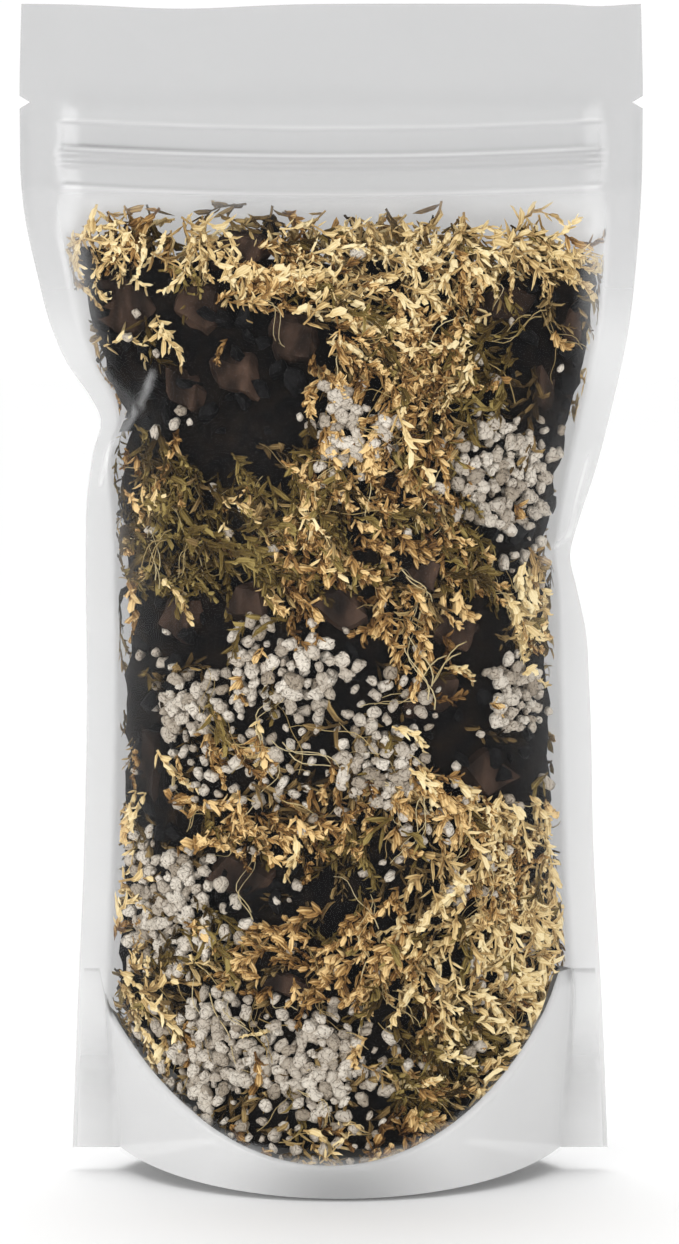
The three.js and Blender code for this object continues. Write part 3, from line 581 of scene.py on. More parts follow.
# Films: each crease's line of places, how far it stands out and its width
SHARP_CREASE = 0.75
CREASES = {
    FRONT: [
        ([(-43, 196), (-47, 188), (-50, 183), (-54, 178), (-56, 170)], 0.9, 1.1),
        ([(-58, 203), (-52, 196), (-45, 190), (-38, 188)], 0.6, 1.6),
        ([(62, 176), (58, 157), (52, 152)], 0.8, 1.2),
        ([(60, 140), (56, 147), (50, 152), (42, 155)], 0.6, 1.5),
        ([(-66, 232), (-60, 222), (-56, 208)], 0.5, 2.2),
        ([(66, 226), (62, 210), (60, 196)], 0.5, 2.2),
        ([(-54, 60), (-50, 44), (-40, 30)], 0.4, 2.5),
        ([(58, 62), (53, 46), (44, 30)], 0.4, 2.5),
    ],
    BACK: [
        ([(-60, 200), (-50, 190), (-30, 186)], 0.8, 1.6),
        ([(60, 160), (48, 152), (30, 150)], 0.8, 1.6),
        ([(-40, 226), (-10, 231), (30, 228)], 0.5, 2.5),
    ],
}


def distance_to_line(x, z, line):
    """Distance of many places from a line through points."""
    nearest = np.full(np.shape(x), 1e9)
    for (x0, z0), (x1, z1) in zip(line, line[1:]):
        along = np.array([x1 - x0, z1 - z0])
        share = np.clip(((x - x0) * along[0] + (z - z0) * along[1]) / (along @ along), 0, 1)
        nearest = np.minimum(nearest, np.hypot(x - x0 - share * along[0], z - z0 - share * along[1]))
    return nearest


def film_relief(x, z, on_bulge, side):
    """How far a film stands out from its plain shape: swells over the mix, ripples and creases."""
    swell = np.array([
        0.5 * noise.noise(Vector((a / 17, b / 17, 3.0 * side)))
        + 0.22 * noise.noise(Vector((a / 6, b / 8, 9.0 * side)))
        for a, b in zip(x.ravel(), z.ravel())
    ]).reshape(x.shape)
    relief = np.maximum(swell, -0.12) * on_bulge * smooth_step(246, 232, z)
    for line, height, width in CREASES[side]:
        relief = relief + height * np.exp(-((distance_to_line(x, z, line) / width) ** 2)) * on_bulge
    header = 0.16 * np.sin(x / 9.0 + side) * np.sin(z / 7.0) * smooth_step(250, 262, z)
    return relief + header


def zip_sag(x):
    """How far the zip's line hangs at a place across."""
    return ZIP_SAG * (1 - (x / ZIP_HALF_LENGTH) ** 2)


def zip_bump(x, z):
    """How far the zip pushes a film out: a ridge along its rib and a step at each tape edge."""
    line = z - (ZIP_Z - zip_sag(x))
    within = smooth_step(ZIP_HALF_LENGTH + 1, ZIP_HALF_LENGTH - 1, np.abs(x))
    rib = 0.55 * np.exp(-(line**2)) + 0.35 * np.exp(-(((line + 2.6) / 0.7) ** 2))
    tape = 0.22 * smooth_step(ZIP_HALF_HEIGHT + 0.5, ZIP_HALF_HEIGHT - 0.5, np.abs(line))
    return (rib + tape) * within


ARC_COLUMNS = 73
SEAL_COLUMNS = 5
HEADER_ROWS = (264.5, 267, 270, 273, 276, 279, 282, 284, TOP_Z)
CORNER_LIFT_ENDS_Z = 70.0


def film_heights():
    """Heights of a film's rows: even, and closer along the zip and the notch."""
    even = np.linspace(0, 236, 108)
    along_zip = np.arange(237, NOTCH_Z - 2, 0.4)
    notch = NOTCH_Z + NOTCH_HALF_HEIGHT * np.array([-1, -0.5, 0, 0.5, 1])
    return np.unique(np.round(np.concatenate([even, along_zip, notch, HEADER_ROWS]), 3))


def corner_lift(z):
    """How far the sealed corners are lifted off the ground."""
    return CORNER_LIFT * smooth_step(CORNER_LIFT_ENDS_Z, 0, z)


def top_dips(x):
    """How far the top edge dips at a place across."""
    return 1.2 * np.exp(-(((x + 36) / 20) ** 2)) + 0.6 * np.exp(-(((x - 64) / 7) ** 2))


def seal_strip(end, z, middle, half_width, seal, side):
    """Points of the sealed strip at one end of a film, with its tear notch."""
    notch = NOTCH_DEPTH * np.clip(1 - np.abs(z - NOTCH_Z) / NOTCH_HALF_HEIGHT, 0, 1)
    share = np.linspace(1, 0, SEAL_COLUMNS, endpoint=False)[None, ::-end]
    x = middle + end * (half_width + share * (seal - notch))
    ripple = 0.18 * np.sin(z / 5.0 + end) * share
    y = side * (half_gap(z) + np.maximum(0, ripple))
    return np.stack([x, y, z + corner_lift(z) + 0 * share], axis=-1)


def film_points(side):
    """A film's points: the sealed strips at its sides and the bulge between them."""
    heights = film_heights()
    middle, depth, radius, spread = [column[:, None] for column in rows_at(heights)]
    left_seal, right_seal = [np.interp(heights, ROW_HEIGHTS, ROW_TABLE[:, k])[:, None] for k in (0, 1)]
    z = heights[:, None]
    across = np.linspace(-1, 1, ARC_COLUMNS)[None, :]
    angle = across * spread
    x = middle + radius * np.sin(angle)
    rise = radius * np.cos(angle) - (radius - depth)
    zip_room = (0.6 + 1.1 * smooth_step(266, 259, z)) * smooth_step(215, 243, z)
    parted = zip_room * smooth_step(1.0, 0.86, np.abs(across))
    out = half_gap(z) + parted + rise
    on_bulge = smooth_step(1.0, 0.9, np.abs(across)) * np.ones_like(z)
    over_zip = zip_bump(x, z) * (1 if side == FRONT else 0.7)
    relief = film_relief(x, z * np.ones_like(x), on_bulge, side) + over_zip + 0.1
    lift = (1 - np.minimum(1, rise / depth)) * corner_lift(z)
    bulge = np.stack([x + relief * np.sin(angle), side * (out + relief * np.cos(angle)), z + lift], axis=-1)
    half_width = radius * np.sin(spread)
    left = seal_strip(-1, z, middle, half_width, left_seal, side)
    right = seal_strip(1, z, middle, half_width, right_seal, side)
    points = np.concatenate([left, bulge, right], axis=1)
    points[..., 2] -= top_dips(points[..., 0]) * smooth_step(266, TOP_Z, z)
    return points


def sealed_share(z, across):
    """How hazy a film is at its sealed strips, along its margins high up and in its header."""
    strips = np.zeros(z.shape)
    strips[:, :SEAL_COLUMNS + 1] = strips[:, -SEAL_COLUMNS - 1:] = 0.4
    strips *= smooth_step(44, 52, z)
    margins = 0.85 * smooth_step(0.76, 0.88, across)[None, :] * smooth_step(188, 222, z)
    header = smooth_step(234, 242, z)
    return np.maximum(np.maximum(strips, margins), header)


def film_lines(x, z, across, side):
    """Painted highlight and painted shade lines on a film: along creases, the bottom seal, the zip and the
    edges.
    """
    painted_highlight, shaded = np.zeros(z.shape), np.zeros(z.shape)
    # Sharp creases get a painted highlight along their ridges
    for line, height, width in CREASES[side]:
        if height > SHARP_CREASE:
            ridge = height * np.exp(-((distance_to_line(x, z, line) / (0.7 * width)) ** 2))
            painted_highlight = np.maximum(painted_highlight, ridge)
    # A painted highlight along the bottom seal's arc
    arc_highlight = 0.9 * np.exp(-(((z - seal_arc(x)) / 1.2) ** 2)) * (np.abs(x) < 50)
    painted_highlight = np.maximum(painted_highlight, arc_highlight)
    above_zip = z - (ZIP_Z - zip_sag(x))
    to_the_left = 0.35 + 0.65 * smooth_step(0, -60, x)
    # Along the zip: painted highlight lines, and painted shade lines that are stronger to the left
    for values, place, share in (
        (painted_highlight, 1.1, 0.45),
        (painted_highlight, -ZIP_HALF_HEIGHT - 0.9, 0.3),
        (painted_highlight, ZIP_HALF_HEIGHT + 0.6, 0.2),
        (shaded, 2.0, 0.8 * to_the_left),
        (shaded, -ZIP_HALF_HEIGHT, 0.45 * to_the_left),
        (shaded, -1.6, 0.1),
    ):
        line = share * np.exp(-(((above_zip - place) / 0.45) ** 2)) * (np.abs(x) < ZIP_HALF_LENGTH)
        np.maximum(values, line, out=values)
    # A painted shade line along the side seals' inner edges, high up
    edge = 0.5 * np.exp(-(((across - 0.985) / 0.008) ** 2))[None, :]
    shaded = np.maximum(shaded, edge * smooth_step(225, 240, z) * smooth_step(262, 256, z))
    return painted_highlight, shaded


def film_piece(name, side):
    """One film panel as a thin sheet, with the values that its material reads."""
    points = film_points(side)
    rows, columns = points.shape[:2]
    faces = grid_faces(columns, rows)
    if side == BACK:
        faces = [tuple(reversed(face)) for face in faces]
    piece = new_object(name, points.reshape(-1, 3), faces)
    x, z = points[..., 0], points[..., 2]
    across = np.abs(np.linspace(-1, 1, columns))
    # The painted highlight and painted shade lines, kept for the material
    painted_highlight, shaded = film_lines(x, z, across, side)
    store_values(piece, "sealed", sealed_share(z, across).ravel())
    store_values(piece, "painted_highlight", painted_highlight.ravel())
    store_values(piece, "shaded", shaded.ravel())
    # Painted light: the milky back film is painted paler below the header
    store_values(piece, "pale", 0.4 * smooth_step(238, 205, z.ravel()))
    return piece


def soft_limit(value, limit, ease):
    """A value eased towards a limit that it never passes, on both sides of 0."""
    start = limit - ease
    over = np.maximum(0, np.abs(value) - start)
    eased = np.minimum(np.abs(value), start) + ease * (1 - np.exp(-over / ease))
    return np.sign(value) * eased


LOWEST_CONTENTS_Z = 1.0
HIGHEST_CONTENTS_Z = 238.0


def press_inside(piece, margin=0.5, ease=1.2):
    """Presses a piece's points in under the films and up from the gusset."""
    places = np.empty(len(piece.data.vertices) * 3)
    piece.data.vertices.foreach_get("co", places)
    x, y, z = places.reshape(-1, 3).T / MM
    z = np.clip(z, LOWEST_CONTENTS_Z, HIGHEST_CONTENTS_Z)
    middle, depth, radius, spread = rows_at(z)
    x = middle + soft_limit(x - middle, radius * np.sin(spread) - 0.4, 2.0)
    room = np.sqrt(radius**2 - (x - middle) ** 2) - (radius - depth) + half_gap(z)
    below_arc = smooth_step(0.6, -0.2, z - seal_arc(x))
    limit = np.maximum(0.15, room - margin - 0.9 * below_arc)
    y = soft_limit(y, limit, np.minimum(ease, 0.6 * limit))
    z = np.maximum(z, gusset_floor(x, y) + 0.5)
    piece.data.vertices.foreach_set("co", (np.stack([x, y, z], axis=-1) * MM).ravel())
    piece.data.update()
    return piece


GUSSET_COLUMNS = 81
LEAF_ROWS = 9
FLOOR_ROWS = 33
FOOT_Z = 0.6
GUSSET_UNDER_FILM = 0.45
GUSSET_SHORT_OF_EDGE = 0.8


def gusset_piece(name):
    """The gusset: two leaves sealed to the films below the arc, and the floor between them."""
    strip = np.linspace(1, 0, SEAL_COLUMNS, endpoint=False)
    ends = np.ones(SEAL_COLUMNS)
    across = np.concatenate([-ends, np.linspace(-1, 1, GUSSET_COLUMNS), ends])
    beyond = np.concatenate([-strip, np.zeros(GUSSET_COLUMNS), strip[::-1]])
    foot = np.full(len(across), FOOT_Z)

    def on_film(height):
        middle, depth, radius, spread = rows_at(height)
        angle = across * spread
        seal = np.interp(height, ROW_HEIGHTS, ROW_TABLE[:, 0]) - GUSSET_SHORT_OF_EDGE
        rise = radius * np.cos(angle) - (radius - depth)
        lift = (1 - np.minimum(1, rise / depth)) * corner_lift(height)
        x = middle + (radius - GUSSET_UNDER_FILM) * np.sin(angle) + beyond * seal
        y = FRONT * (half_gap(height) + rise - GUSSET_UNDER_FILM * np.maximum(0.8, np.cos(angle)))
        return np.stack([x, y, height + lift], axis=-1)

    x_at_foot = on_film(foot)[:, 0]
    offset = x_at_foot - GUSSET_MIDDLE
    arc = seal_arc(x_at_foot)
    line = floor_line(x_at_foot)
    rows = [on_film(foot + (arc - foot) * share) for share in np.linspace(0, 1, LEAF_ROWS)]
    edge = rows[-1]
    for share in np.linspace(-1, 1, FLOOR_ROWS)[1:-1]:
        fold = 0.35 * np.sin(offset / 6.0) * (1 - share * share) * smooth_step(18, 40, np.abs(offset))
        height = line + (edge[:, 2] - line) * floor_rise(abs(share)) + 0.15 + fold
        rows.append(np.stack([edge[:, 0], -share * edge[:, 1], height], axis=-1))
    rows += [row * np.array([1, -1, 1]) for row in reversed(rows[:LEAF_ROWS])]
    points = np.concatenate(rows)
    piece = new_object(name, points, grid_faces(len(across), len(rows)))
    # Painted shade: the gusset is painted darker towards the bottom of its middle
    away = np.hypot((points[:, 0] - GUSSET_MIDDLE) / 38, points[:, 2] / 26)
    store_values(piece, "pale", smooth_step(0, 1, away))
    in_seal = np.tile(np.abs(beyond) > 0, len(rows)) * smooth_step(10, 40, points[:, 2])
    store_values(piece, "thin", in_seal)
    return piece


def zip_piece(name, profile):
    """A zip strip: its profile in y and height, swept along the sagging zip line."""
    places = np.linspace(-ZIP_HALF_LENGTH, ZIP_HALF_LENGTH, 61)
    points = [(x, y, ZIP_Z + z - zip_sag(x)) for x in places for y, z in profile]
    piece = new_object(name, points, grid_faces(len(profile), len(places)))
    store_values(piece, "rib", [float(abs(z) < RIB_REACH) for _ in places for _, z in profile])
    return piece


# Scattering
SKIN_COLUMNS = 76
SKIN_STEP = 2.0
MIX_HALF_WIDTH = 66.0
MIX_TOP_Z = 229.5
MIX_TOP_BUMPS = 5.0
HIGH_UP_Z = (165, 195)
MOST_POINTS = 400000.0

# The seeds of the random values that each scattered copy draws
RISE_DRAW, HEADING_DRAW, LEAN_DRAW, SIZE_DRAW, VARIANT_DRAW, TINT_DRAW = range(5, 11)


def skin_object(name, cover, depth, sides, lowest, highest, reach):
    """A sheet under the films to scatter on, with how much of it each place is to be covered."""
    points, faces, weights = [], [], []
    heights = np.arange(lowest, highest, SKIN_STEP)
    for side in sides:
        q = np.linspace(-reach, reach, SKIN_COLUMNS)[None, :] * np.ones((len(heights), 1))
        z = heights[:, None] * np.ones_like(q)
        high_up = smooth_step(*HIGH_UP_Z, z)
        outwards = np.abs(q) / MIX_HALF_WIDTH
        closer = 1 - 0.65 * high_up * outwards**3 - 0.55 * (1 - high_up) * outwards**4
        place = under_film(q, z, depth * closer, side)
        ragged = outwards + 0.12 * (uneven(q, z, side, 7, 8.0) - 0.5)
        weight = cover(place[..., 0], z, side) * in_the_mix(place[..., 0], z)
        weight = weight * np.maximum(smooth_step(0.98, 0.9, ragged), 0.8 * high_up)
        quads = grid_faces(SKIN_COLUMNS, len(heights), sum(len(part) for part in points))
        faces += quads if side == FRONT else [tuple(reversed(face)) for face in quads]
        points.append(place.reshape(-1, 3))
        weights.append(weight.ravel())
    thing = new_object(name, np.concatenate(points), faces)
    store_values(thing, "cover", np.concatenate(weights))
    return thing


def top_line(x):
    """The uneven height that the mix reaches."""
    bumps = [noise.noise(Vector((a / 13, 4.2, 0))) for a in np.ravel(x)]
    return MIX_TOP_Z + MIX_TOP_BUMPS * np.array(bumps).reshape(np.shape(x))


def in_the_mix(x, z):
    """1 above the gusset's leaves and under the mix's top, falling to 0 at both."""
    bottom = seal_arc(x) - 5 + 3 * uneven(x, z, 0, 9, 31.0)
    return (z > bottom) * smooth_step(2.5, -0.5, z - top_line(x))


def random_between(tree, kind, low, high, seed):
    """A random value for each point."""
    node = add_node(tree, "FunctionNodeRandomValue", data_type=kind)
    for name, value in (("Min", low), ("Max", high), ("Seed", seed)):
        feed(tree, socket_named(node.inputs, name), value)
    return output_of(node)


def scaled_vector(tree, vector, scale):
    """A vector socket times a number socket."""
    node = add_node(tree, "ShaderNodeVectorMath", operation="SCALE")
    feed(tree, node.inputs[0], vector)
    feed(tree, socket_named(node.inputs, "Scale"), scale)
    return node.outputs[0]


def scatter_tree():
    """Seeded copies of a few variants over a skin, turned and sized at random, as plain geometry."""
    tree = bpy.data.node_groups.new("Scatter over the skin", "GeometryNodeTree")
    tree.is_modifier = True
    tree.interface.new_socket("Geometry", in_out="OUTPUT", socket_type="NodeSocketGeometry")
    for name, kind in (
        ("Geometry", "Geometry"), ("Variants", "Collection"), ("Material", "Material"),
        ("Spacing", "Float"), ("Density", "Float"), ("Smallest", "Float"), ("Largest", "Float"),
        ("Tilt", "Float"), ("Swirl", "Float"), ("Looseness", "Float"), ("Rise", "Float"), ("Seed", "Int"),
    ):
        tree.interface.new_socket(name, in_out="INPUT", socket_type="NodeSocket" + kind)
    source = add_node(tree, "NodeGroupInput").outputs
    cover = add_node(tree, "GeometryNodeInputNamedAttribute", {"Name": "cover"}, data_type="FLOAT")
    scattered = add_node(
        tree, "GeometryNodeDistributePointsOnFaces",
        {
            "Mesh": source["Geometry"], "Distance Min": source["Spacing"], "Density Max": source["Density"],
            "Density Factor": output_of(cover, "Attribute"), "Seed": source["Seed"],
        },
        distribute_method="POISSON",
    )
    rise = random_between(tree, "FLOAT", 0.0, source["Rise"], RISE_DRAW)
    lifted = add_node(
        tree, "GeometryNodeSetPosition",
        {
            "Geometry": scattered.outputs["Points"],
            "Offset": scaled_vector(tree, scattered.outputs["Normal"], rise),
        },
    )
    place = add_node(tree, "GeometryNodeInputPosition")
    flow = add_node(tree, "ShaderNodeTexNoise", {"Vector": place.outputs[0], "Scale": 22.0, "Detail": 1.0})
    swirl = maths(tree, "MULTIPLY", flow.outputs[0], source["Swirl"])
    loose = random_between(tree, "FLOAT", 0.0, source["Looseness"], HEADING_DRAW)
    heading = maths(tree, "ADD", swirl, loose)
    about_normal = add_node(
        tree, "FunctionNodeAxisAngleToRotation", {"Axis": (0, 0, 1), "Angle": heading}
    )
    turned = add_node(
        tree, "FunctionNodeRotateRotation",
        {"Rotation": scattered.outputs["Rotation"], "Rotate By": about_normal.outputs[0]},
        rotation_space="LOCAL",
    )
    lean = random_between(tree, "FLOAT_VECTOR", (-1, -1, 0), (1, 1, 0), LEAN_DRAW)
    tilt = add_node(
        tree, "FunctionNodeEulerToRotation", {"Euler": scaled_vector(tree, lean, source["Tilt"])}
    )
    tilted = add_node(
        tree, "FunctionNodeRotateRotation",
        {"Rotation": turned.outputs[0], "Rotate By": tilt.outputs[0]},
        rotation_space="LOCAL",
    )
    variants = add_node(
        tree, "GeometryNodeCollectionInfo",
        {"Collection": source["Variants"], "Separate Children": True, "Reset Children": True},
    )
    size = random_between(tree, "FLOAT", source["Smallest"], source["Largest"], SIZE_DRAW)
    copies = add_node(
        tree, "GeometryNodeInstanceOnPoints",
        {
            "Points": lifted.outputs[0], "Instance": variants.outputs[0], "Pick Instance": True,
            "Instance Index": random_between(tree, "INT", 0, 99, VARIANT_DRAW),
            "Rotation": tilted.outputs[0], "Scale": size,
        },
    )
    tint = random_between(tree, "FLOAT", 0.0, 1.0, TINT_DRAW)
    tinted = add_node(
        tree, "GeometryNodeStoreNamedAttribute",
        {"Geometry": copies.outputs[0], "Name": "tint", "Value": tint},
        data_type="FLOAT", domain="INSTANCE",
    )
    real = add_node(tree, "GeometryNodeRealizeInstances", {"Geometry": tinted.outputs[0]})
    coated = add_node(
        tree, "GeometryNodeSetMaterial", {"Geometry": real.outputs[0], "Material": source["Material"]}
    )
    add_node(tree, "NodeGroupOutput", {"Geometry": coated.outputs[0]})
    return tree


def scatter(skin, variants, material, **settings):
    """Covers a skin with copies of the variants, and leaves the copies as the skin's own mesh."""
    tree = bpy.data.node_groups.get("Scatter over the skin") or scatter_tree()
    modifier = skin.modifiers.new("Scatter", "NODES")
    modifier.node_group = tree
    values = {
        "Variants": variants, "Material": material, "Density": MOST_POINTS, "Swirl": 0.0,
        "Looseness": 6.3, **settings,
    }
    for item in tree.interface.items_tree:
        if item.in_out == "INPUT" and item.name in values:
            modifier[item.identifier] = values[item.name]
    apply_modifiers(skin)
    press_inside(skin)


def collect(name, objects):
    """A collection of variants, taken out of the scene's own collection."""
    group = bpy.data.collections.new(name)
    bpy.context.scene.collection.children.link(group)
    for thing in objects:
        bpy.context.scene.collection.objects.unlink(thing)
        group.objects.link(thing)
    return group


def discard(group):
    """Removes a collection of variants once it has been used."""
    for thing in list(group.objects):
        bpy.data.objects.remove(thing)
    bpy.data.collections.remove(group)


# Moss
GOLDEN_ANGLE = math.radians(137.5)
TUBE_SIDES = 3
STEM_STEPS = 7
STEM_RADIUS = 0.32
STEM_TONE = 0.2
LEAF_THICKNESS = 0.55
THREAD_STEPS = 10
THREAD_TONE = 0.5

# A leaf's rings: how far along, how wide and how far the keel stands out
LEAF_RINGS = ((0.3, 0.9, 1.0), (0.74, 0.95, 0.7))
LEAF_FACES = (
    (0, 1, 2), (0, 2, 3), (1, 4, 5, 2), (2, 5, 6, 3), (4, 7, 5), (5, 7, 6),
    (0, 3, 1), (1, 3, 6, 4), (4, 6, 7),
)
# Each leaf point's painted light: painted shade at the base and edges, painted highlight along the keel and
# at the tip
LEAF_PAINTED_LIGHT = (-0.15, 0.04, 0.3, 0.04, 0.18, 0.5, 0.18, 0.4)
LEAF_SIDES = (0, -1, 0, 1, -1, 0, 1, 0)


def leaf_points(base, along, out, length, width, thickness, curl, sway):
    """A blunt keeled leaf, bent out and sideways: its base, two rings of three points, and its tip."""
    side = along.cross(out).normalized()
    curl = curl or 0.01

    def bent(place):
        forward, outward = math.sin(curl * place) / curl, (1 - math.cos(curl * place)) / curl
        return base + (along * forward + out * outward + side * sway * place * place) * length

    points = [base]
    for place, share, keel in LEAF_RINGS:
        lifted = out * math.cos(curl * place) - along * math.sin(curl * place)
        half = (side - along * sway * 2 * place).normalized() * width / 2 * share
        points += [bent(place) + half, bent(place) + lifted * thickness * keel, bent(place) - half]
    return points + [bent(1.0)]


def add_tube(points, faces, rings):
    """Adds a closed tube through rings of points."""
    first = len(points)
    for ring in rings:
        points += ring
    for s in range(len(rings) - 1):
        for k in range(TUBE_SIDES):
            a = first + s * TUBE_SIDES + k
            b = first + s * TUBE_SIDES + (k + 1) % TUBE_SIDES
            faces.append((a, b, b + TUBE_SIDES, a + TUBE_SIDES))
    last = len(points) - TUBE_SIDES
    faces += [(first + 2, first + 1, first), (last, last + 1, last + 2)]


def tube_ring(centre, sideways, up, radius):
    """The points of one ring of a tube."""
    turns = [2 * math.pi * k / TUBE_SIDES for k in range(TUBE_SIDES)]
    return [centre + (sideways * math.cos(turn) + up * math.sin(turn)) * radius for turn in turns]


def directions_along(stem, share):
    """Forwards, sideways and up at a share of a stem's length."""
    forward = (stem(share + 0.01) - stem(share - 0.01)).normalized()
    sideways = forward.cross(Vector((0, 0, 1))).normalized()
    return forward, sideways, sideways.cross(forward)


def sprig(name, seed, length, leaves, leaf_length, leaf_width, spread, bend, curl):
    """A moss sprig along X: a thin bent stem with leaves winding up it."""
    dice = random.Random(seed)
    phase = dice.uniform(0, 6)
    sway = dice.uniform(0.5, 1.0) * bend

    def stem(share):
        wave = math.sin(share * 3.4 + phase)
        return Vector((
            (share - 0.5) * length * (1 - 0.12 * abs(bend) / 4),
            sway * (wave - math.sin(phase)),
            0.35 * sway * math.sin(share * 5 + phase),
        ))

    points, faces, rings = [], [], []
    for s in range(STEM_STEPS + 1):
        share = s / STEM_STEPS
        _, sideways, up = directions_along(stem, share)
        rings.append(tube_ring(stem(share), sideways, up, STEM_RADIUS * (1 - 0.6 * share)))
    add_tube(points, faces, rings)
    tones, across = [STEM_TONE] * len(points), [0.0] * len(points)
    for n in range(leaves):
        share = (n + 0.5) / leaves
        forward, sideways, up = directions_along(stem, share)
        turn = n * GOLDEN_ANGLE + dice.uniform(-0.4, 0.4)
        out = sideways * math.cos(turn) + up * math.sin(turn) * 0.75
        opening = spread * dice.uniform(0.6, 1.35)
        along = (forward * math.cos(opening) + out * math.sin(opening)).normalized()
        normal = (out - along * out.dot(along)).normalized()
        grown = (1 - 0.45 * share) * dice.uniform(0.75, 1.2)
        first = len(points)
        points += leaf_points(
            stem(share), along, normal, leaf_length * grown, leaf_width * grown,
            LEAF_THICKNESS * grown, dice.uniform(-0.9, 0.6) * curl, dice.uniform(-0.5, 0.5),
        )
        faces += [tuple(first + k for k in face) for face in LEAF_FACES]
        # A random lightness for the leaf, added to its painted shade and highlight
        lightness = 0.7 * dice.random() - 0.05
        tones += [lightness + tone_and_shade for tone_and_shade in LEAF_PAINTED_LIGHT]
        across += LEAF_SIDES
    thing = new_object(name, points, faces)
    store_values(thing, "tone_and_shade", tones)
    store_values(thing, "across", across)
    return thing


def thread_bundle(name, seed, length, radius, bend, strands):
    """Thin loose threads that run side by side along X."""
    dice = random.Random(seed)
    phases = [dice.uniform(0, 6) for _ in range(3)]
    points, faces = [], []
    for strand in range(strands):
        start, shift, splay = dice.uniform(-0.2, 0.1), dice.uniform(-0.7, 0.7), dice.uniform(-0.06, 0.06)
        rings = []
        for s in range(THREAD_STEPS + 1):
            share = s / THREAD_STEPS
            along = (share - 0.5 + start) * length
            centre = Vector((
                along,
                bend * math.sin(share * 4 + phases[0]) + 0.4 * bend * math.sin(share * 9 + phases[1])
                + (shift + splay * along) * (strands > 1),
                0.3 * bend * math.sin(share * 5 + phases[2]) + 0.12 * strand,
            ))
            thickness = radius * (1 - 0.5 * share)
            rings.append(tube_ring(centre, Vector((0, 1, 0)), Vector((0, 0, 1)), thickness))
        add_tube(points, faces, rings)
    thing = new_object(name, points, faces)
    store_values(thing, "tone_and_shade", [THREAD_TONE] * len(points))
    return thing


def knobbly_grain(name, seed, radius, subdivisions):
    """A blunt, knobbly grain, longer than wide."""
    dice = random.Random(seed)
    shift = Vector([dice.uniform(0, 50) for _ in range(3)])
    stretch = Vector((dice.uniform(1.0, 1.4), dice.uniform(0.8, 1.0), dice.uniform(0.65, 0.9)))
    ball = bmesh.new()
    bmesh.ops.create_icosphere(ball, subdivisions=subdivisions, radius=1.0)
    for vertex in ball.verts:
        direction = vertex.co.normalized()
        lumps = 0.42 * noise.noise(direction * 1.3 + shift) + 0.2 * noise.noise(direction * 3.0 + shift)
        blunt = 1 / max(abs(d) for d in direction) ** 0.25
        reach = radius * blunt * (1 + lumps)
        vertex.co = Vector([d * s * reach * MM for d, s in zip(direction, stretch)])
    return object_from(name, ball)


def shard(name, seed, radius, corners):
    """A broken, sharp-edged crumb: the hull of random points."""
    dice = random.Random(seed)
    hull = bmesh.new()
    for _ in range(corners):
        direction = Vector([dice.gauss(0, 1) for _ in range(3)]).normalized()
        stretched = Vector((direction.x * 1.25, direction.y * 0.9, direction.z * 0.6))
        hull.verts.new(stretched * radius * dice.uniform(0.75, 1.1) * MM)
    made = bmesh.ops.convex_hull(hull, input=hull.verts)
    loose = [v for v in made["geom_interior"] + made["geom_unused"] if isinstance(v, bmesh.types.BMVert)]
    bmesh.ops.delete(hull, geom=list(set(loose)), context="VERTS")
    bmesh.ops.recalc_face_normals(hull, faces=hull.faces)
    return object_from(name, hull)


# Where each kind lies, seen from the front: the middle of a patch, and its half width and height
DARK_ZONES = [
    (-34, 196, 25, 21), (-13, 190, 10, 15), (51, 199, 12, 19), (44, 166, 11, 17), (-38, 131, 15, 14),
    (0, 130, 12, 9), (40, 110, 14, 20), (-45, 96, 9, 24), (-21, 74, 14, 9), (22, 118, 10, 8),
    (-51, 206, 10, 12),
]
EDGE_ZONES = [(-56, 204, 6, 15), (57, 200, 7, 18), (54, 172, 6, 12), (-49, 100, 4, 34)]
STRAW_ON_DARK = [(-46, 203, 6, 6), (36, 106, 3.5, 9), (-51, 88, 5, 20)]
RUST_ON_DARK = [(17, 129, 4, 5)]
BROWN_PATCHES = [(0, 94, 22, 12)]
OLIVE_PATCHES = [
    (-31, 160, 25, 20), (-7, 163, 11, 14), (34, 203, 10, 12), (30, 160, 9, 14), (-36, 60, 10, 12),
    (24, 32, 12, 14),
]
STRAW_PATCHES = [
    *STRAW_ON_DARK, (-30, 223, 18, 8), (33, 224, 30, 10), (-54, 222, 7, 10), (50, 139, 7, 13),
    (12, 215, 14, 8), (-12, 221, 14, 8), (37, 60, 19, 36), (-47, 44, 8, 30), (6, 12, 14, 4),
]
RUST_PATCHES = [
    *RUST_ON_DARK, (-10, 220, 13, 10), (14, 191, 17, 24), (8, 157, 22, 20), (22, 135, 12, 14),
    (40, 76, 11, 12), (-4, 57, 22, 14), (18, 14, 18, 6), (26, 94, 14, 10), (-12, 98, 24, 16),
]
TOP_PATCHES = [(0, 230, 90, 12)]
PERLITE_ZONES = [
    (-14, 32, 33, 17), (-28, 26, 20, 18), (-6, 15, 24, 8), (-16, 107, 22, 13), (-42, 66, 10, 15),
    (14, 118, 12, 8), (44, 166, 10, 17), (33, 50, 4, 9), (34, 31, 5, 3), (34, 76, 5, 7), (22, 88, 8, 6),
]


def inside_patches(x, z, patches, softness):
    """1 inside any of the patches, falling to 0 just outside them."""
    inside = np.zeros_like(np.asarray(x, float))
    for px, pz, half_width, half_height in patches:
        distance = np.hypot((x - px) / half_width, (z - pz) / half_height)
        inside = np.maximum(inside, smooth_step(1 + softness, 1 - softness, distance))
    return inside


def nodes_named(prefix):
    """The names of the frame's nodes of one kind, in order."""
    return sorted(name for name in frame["nodes"] if name.startswith(prefix))


